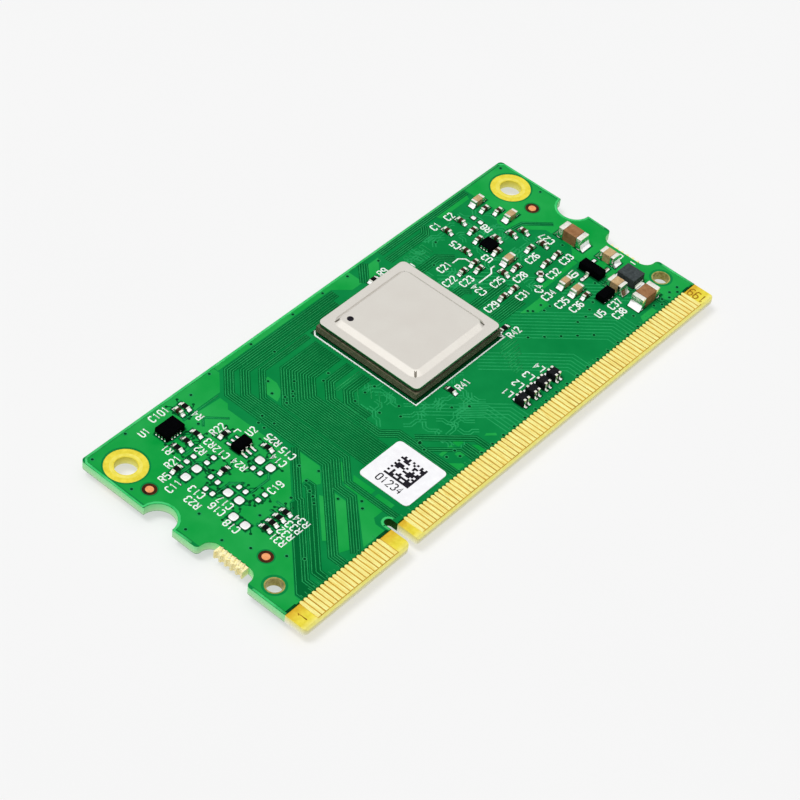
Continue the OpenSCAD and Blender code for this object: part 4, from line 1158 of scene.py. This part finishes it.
# Strokes of the letters, on a grid four wide and six high.
GLYPH_W, GLYPH_H = 4, 6
ROUND = [(1, 0), (3, 0), (4, 1), (4, 5), (3, 6), (1, 6), (0, 5), (0, 1), (1, 0)]
GLYPHS = {
    "0": [ROUND],
    "1": [[(0.8, 4.8), (2, 6), (2, 0)]],
    "2": [[(0, 5), (1, 6), (3, 6), (4, 5), (4, 4), (0, 0), (4, 0)]],
    "3": [[(0, 5.2), (1, 6), (3, 6), (4, 5), (4, 4), (3, 3), (4, 2), (4, 1), (3, 0), (1, 0), (0, 0.8)]],
    "4": [[(3, 0), (3, 6), (0, 2), (4, 2)]],
    "5": [[(4, 6), (0, 6), (0, 3.5), (3, 3.5), (4, 2.5), (4, 1), (3, 0), (0, 0)]],
    "6": [[(4, 5.4), (3, 6), (1, 6), (0, 5), (0, 1), (1, 0), (3, 0), (4, 1), (4, 2.4), (3, 3.3), (0, 3.3)]],
    "7": [[(0, 6), (4, 6), (1.5, 0)]],
    "8": [[(1, 3.2), (0, 4), (0, 5), (1, 6), (3, 6), (4, 5), (4, 4), (3, 3.2), (1, 3.2),
           (0, 2.4), (0, 1), (1, 0), (3, 0), (4, 1), (4, 2.4), (3, 3.2)]],
    "9": [[(0, 0.6), (1, 0), (3, 0), (4, 1), (4, 5), (3, 6), (1, 6), (0, 5), (0, 3.6), (1, 2.7), (4, 2.7)]],
    "C": [[(4, 5), (3, 6), (1, 6), (0, 5), (0, 1), (1, 0), (3, 0), (4, 1)]],
    "L": [[(0, 6), (0, 0), (4, 0)]],
    "Q": [ROUND, [(2.4, 1.6), (4.2, -0.4)]],
    "R": [[(0, 0), (0, 6), (3, 6), (4, 5), (4, 4), (3, 3), (0, 3)], [(2, 3), (4, 0)]],
    "U": [[(0, 6), (0, 1), (1, 0), (3, 0), (4, 1), (4, 6)]],
}


def lettering(words, height, advance):
    """Strokes of words, each centred on its place and turned by its angle."""
    letter_share = 0.66
    width = letter_share * advance
    runs = []
    for word, x, y, turn in words:
        start = -(len(word) - 1) / 2 * advance
        place = Matrix.Translation((*spot(x, y), 0)) @ Matrix.Rotation(math.radians(turn), 4, "Z")
        for index, letter in enumerate(word):
            middle = start + index * advance
            for stroke in GLYPHS[letter]:
                points = [
                    place @ Vector((
                        middle + (gx / GLYPH_W - 0.5) * width, (gy / GLYPH_H - 0.5) * height, 0))
                    for gx, gy in stroke
                ]
                runs.append([(point.x, point.y) for point in points])
    return runs


def part_numbers():
    """Counting marks beside the small parts."""
    return [
        ("U1", 7.3, 29.2, 0), ("C101", 10.2, 29.95, 0), ("R4", 13, 27.1, 90), ("R1", 7.3, 25.9, 90),
        ("R21", 6.5, 24.3, 0), ("R5", 4.4, 23.4, 0), ("R2", 9.7, 23.5, 90), ("R3", 11.1, 23.5, 90),
        ("R22", 13.1, 24.3, 0), ("C11", 4.2, 21.95, 0), ("C12", 11, 21.8, 90), ("U2", 15.4, 21.7, 0),
        ("C13", 5.3, 19.8, 90), ("R23", 4, 19.1, 90), ("R24", 11.1, 19.4, 90), ("R25", 16.1, 19.3, 90),
        ("C14", 14.4, 17, 90), ("C15", 15.8, 17, 90), ("C16", 5.1, 16.8, 90), ("C17", 6.3, 16.8, 90),
        ("C18", 4.5, 14.2, 90), ("C19", 11.5, 14.65, 0), ("R31", 6.5, 9.75, 90), ("R32", 7.65, 9.75, 90),
        ("R33", 8.85, 9.75, 90), ("R34", 10, 9.75, 90),
        ("C1", 53.4, 28.9, 0), ("C2", 55.8, 28.9, 0), ("C5", 52.7, 25.4, 90), ("R8", 57.4, 24.75, 90),
        ("C21", 49, 23.9, 0), ("C22", 47.7, 22, 0), ("C23", 49.1, 20.7, 0), ("U3", 53.6, 21.5, 90),
        ("C24", 49, 18.9, 90), ("C25", 51.5, 18.25, 0), ("C26", 57.4, 18, 0), ("C27", 61.1, 18.9, 90),
        ("C28", 54, 17, 0), ("C29", 48, 16.2, 0), ("C31", 52, 15, 0), ("C4", 54.1, 14.4, 40),
        ("C32", 57.2, 14.8, 0), ("C33", 60.1, 15.25, 0), ("C34", 54.1, 13, 0), ("C35", 54.2, 11.2, 0),
        ("C36", 54.9, 9.7, 0), ("Q1", 58.8, 13.3, 90), ("U5", 56, 7.2, 0), ("C37", 58.4, 7, 0),
        ("C38", 57.6, 5.75, 0), ("L1", 39.1, 6.7, 90), ("L2", 40.9, 6.7, 90), ("L3", 42.7, 6.7, 90),
        ("L4", 44.5, 6.7, 90), ("R41", 36.6, 10.75, 0), ("R42", 46.7, 11.95, 0), ("R9", 43.4, 28.1, 0),
    ]


def white_marks():
    """Counting marks, leader lines and the outline round the processor."""
    runs = lettering(part_numbers(), height=0.86, advance=0.65)
    outline_w, low, high = 0.28, 12.25, 27.1
    outline = [run((45.4, 13.1), (45.4, low), (30.6, low), (30.6, high - 0.5), (31.1, high))]
    shape = strips(outline, outline_w, INK_RISE, TOP)
    new_piece("processor_outline", shape, ink_white)
    runs += [
        run((45, 12.8), (45.4, low)),
        run((46.7, 26.2), (46.7, 26.9)),
        run((50.2, 23.7), (51.2, 23.7), (51.8, 23.1), (51.8, 22.3)),
        run((49.9, 19.6), (52.1, 19.6), (52.7, 20.15), (53.3, 20.15)),
        run((14, 22.9), (14.6, 22.9), (14.6, 22.4)),
        run((65.2, 9.3), (65.2, 10)),
        run((64.6, 11.1), (65.3, 11.1), (65.3, 11.6)),
    ]
    return new_piece("white_marks", strips(runs, INK_W, INK_RISE, TOP), ink_white)


def contact_numbers():
    """Numbers of the first and the last contact, etched in the bare strip."""
    numbers = [("1", 1.1, 1.46, 0), ("199", 66.3, 1.48, 90)]
    runs = lettering(numbers, height=1.15, advance=0.76)
    shape = strips(runs, width=0.17, rise=0.012, level=BARE)
    return new_piece("contact_numbers", shape, etched_brown)


white_marks()
contact_numbers()


# Print on the label and the processor

def label_print():
    """A square code of made-up cells and a line of plain figures."""
    code_side, count, filled = 3.3, 12, 0.48
    left, near = 21, 5.15
    rise = 0.008
    cell = code_side / count
    last = count - 1
    random.seed(7)
    squares = []
    for row in range(count):
        for column in range(count):
            border = column == 0 or row == 0
            dashed = (row == last and column % 2 == 0) or (column == last and row % 2 == 0)
            inner = 0 < row < last and 0 < column < last and random.random() < filled
            if border or dashed or inner:
                x, y = spot(left + column * cell, near + row * cell)
                squares.append(rectangle(x, y, x + cell, y + cell))
    shape = slabs(squares, LABEL_TOP - SINK, LABEL_TOP + rise)
    new_piece("label_code", shape, ink_black)
    figures = lettering([("01234", 20.2, 6.9, -90)], height=0.95, advance=0.68)
    shape = strips(figures, width=0.16, rise=rise, level=LABEL_TOP)
    new_piece("label_figures", shape, ink_black)


def corner_dot():
    """The printed dot that marks the processor's first corner."""
    place = spot(33.4, 24.25)
    shape = discs([place], radius=0.38, low=LID_TOP - SINK, high=LID_TOP + 0.006, sides=32)
    return new_piece("corner_dot", shape, ink_black)


def package_dots():
    """Shallow round marks at the first corner of the two underside packages."""
    inset = 1.1
    boxes = [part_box(name) for name in ("memory_package", "storage_package")]
    places = [(low.x / MM + inset, high.y / MM - inset) for low, high in boxes]
    level = boxes[0][0].z / MM
    shape = discs(places, radius=0.35, low=level - 0.006, high=level + SINK, sides=32)
    return new_piece("package_dots", shape, package_mark)


label_print()
corner_dot()
package_dots()


# Camera, light and ground

CAMERA_AZIMUTH, CAMERA_RISE, CAMERA_ROLL = -54.869, 45.837, 8.045
CAMERA_LENS = 116.396
CAMERA_PLACE = (-158.96, -110.73, 197.46)


def camera():
    """The photograph's view."""
    turn, rise, roll = (math.radians(a) for a in (CAMERA_AZIMUTH, CAMERA_RISE, CAMERA_ROLL))
    back = Vector((math.sin(turn) * math.cos(rise), -math.cos(turn) * math.cos(rise), math.sin(rise)))
    right = Vector((0, 0, 1)).cross(back).normalized()
    up = back.cross(right)
    tilted_right = right * math.cos(roll) + up * math.sin(roll)
    tilted_up = up * math.cos(roll) - right * math.sin(roll)
    lens = bpy.data.cameras.new("camera")
    lens.lens = CAMERA_LENS
    lens.sensor_width = 36
    lens.clip_start, lens.clip_end = 0.01, 10
    holder = bpy.data.objects.new("camera", lens)
    axes = Matrix((tilted_right, tilted_up, back)).transposed().to_4x4()
    holder.matrix_world = Matrix.Translation(Vector(CAMERA_PLACE) * MM) @ axes
    scene.collection.objects.link(holder)
    scene.camera = holder


def light():
    """Soft light from above, a little to the left and from behind."""
    to_window = Vector((-0.3, 0.2, 0.933))
    sun = bpy.data.lights.new("window", "SUN")
    sun.energy = 1.65
    sun.angle = math.radians(22)
    holder = bpy.data.objects.new("window", sun)
    holder.rotation_mode = "QUATERNION"
    holder.rotation_quaternion = to_window.to_track_quat("Z", "Y")
    holder.visible_glossy = False
    scene.collection.objects.link(holder)


def glow(owner, colour, strength):
    """Light of a colour, its strength a socket or a number."""
    lamp = add(owner, "Background")
    lamp.inputs["Color"].default_value = colour
    feed(owner, strength, lamp.inputs["Strength"])
    return lamp.outputs[0]


def either(owner, amount, first, second):
    """The first shader where the amount is nought, the second where it is one."""
    mix = add(owner, "MixShader")
    feed(owner, amount, mix.inputs[0])
    join(owner, first, mix.inputs[1])
    join(owner, second, mix.inputs[2])
    return mix.outputs[0]


def surroundings():
    """A white room, lit from above, that metal mirrors brighter on its left and near side."""
    white = (1, 1, 1, 1)
    least_light = 0.02
    wall_level, wall_most, left_gain, near_gain = 1.16, 1.27, 0.26, 0.19
    horizon_level, horizon_climb = 0.25, 3
    world = bpy.data.worlds.new("room")
    scene.world = world
    world.use_nodes = True
    world.node_tree.nodes.clear()
    up = combine(world, "MAXIMUM", axis_of(world, "Z", "Generated"), 0)
    overhead = combine(world, "MULTIPLY", up, up)
    soft = glow(world, white, combine(world, "ADD", overhead, least_light))
    left = combine(world, "MULTIPLY", axis_of(world, "X", "Generated"), -left_gain)
    near = combine(world, "MULTIPLY", axis_of(world, "Y", "Generated"), -near_gain)
    walls = combine(world, "ADD", combine(world, "ADD", left, near), wall_level)
    walls = combine(world, "MINIMUM", walls, wall_most)
    horizon = combine(world, "ADD", combine(world, "MULTIPLY", up, horizon_climb), horizon_level)
    horizon = combine(world, "MINIMUM", horizon, 1)
    mirrored = glow(world, white, combine(world, "MULTIPLY", walls, horizon))
    seen = glow(world, srgb(247, 247, 247), 1)
    rays = add(world, "LightPath")
    lit = either(world, rays.outputs["Is Glossy Ray"], soft, mirrored)
    out = add(world, "OutputWorld")
    join(world, either(world, rays.outputs["Is Camera Ray"], lit, seen), out.inputs["Surface"])


def sheet_finish():
    """White paper that keeps a faint shadow and is clear from below."""
    glow_share = 0.62
    material = cloudy_finish("white_sheet", (244, 244, 244), (246, 246, 246), (0.8, 0.9), 40, gloss=0)
    bright = add(material, "Emission")
    bright.inputs["Color"].default_value = srgb(247, 247, 247)
    paper_face = either(material, glow_share, shader_of(material).outputs[0], bright.outputs[0])
    clear = add(material, "BsdfTransparent")
    back = add(material, "NewGeometry").outputs["Backfacing"]
    surface = either(material, back, paper_face, clear.outputs[0])
    join(material, surface, material.node_tree.nodes["Material Output"].inputs["Surface"])
    return material


def ground():
    """The sheet of paper that the board lies on."""
    reach, drop = 1.5, 0.05 * MM
    shape = bmesh.new()
    bmesh.ops.create_grid(
        shape, x_segments=1, y_segments=1, size=reach, matrix=Matrix.Translation((0, 0, -drop)))
    floor = block("ground", shape)
    floor.data.materials.append(sheet_finish())


camera()
light()
surroundings()
ground()
scene.view_settings.view_transform = "Standard"
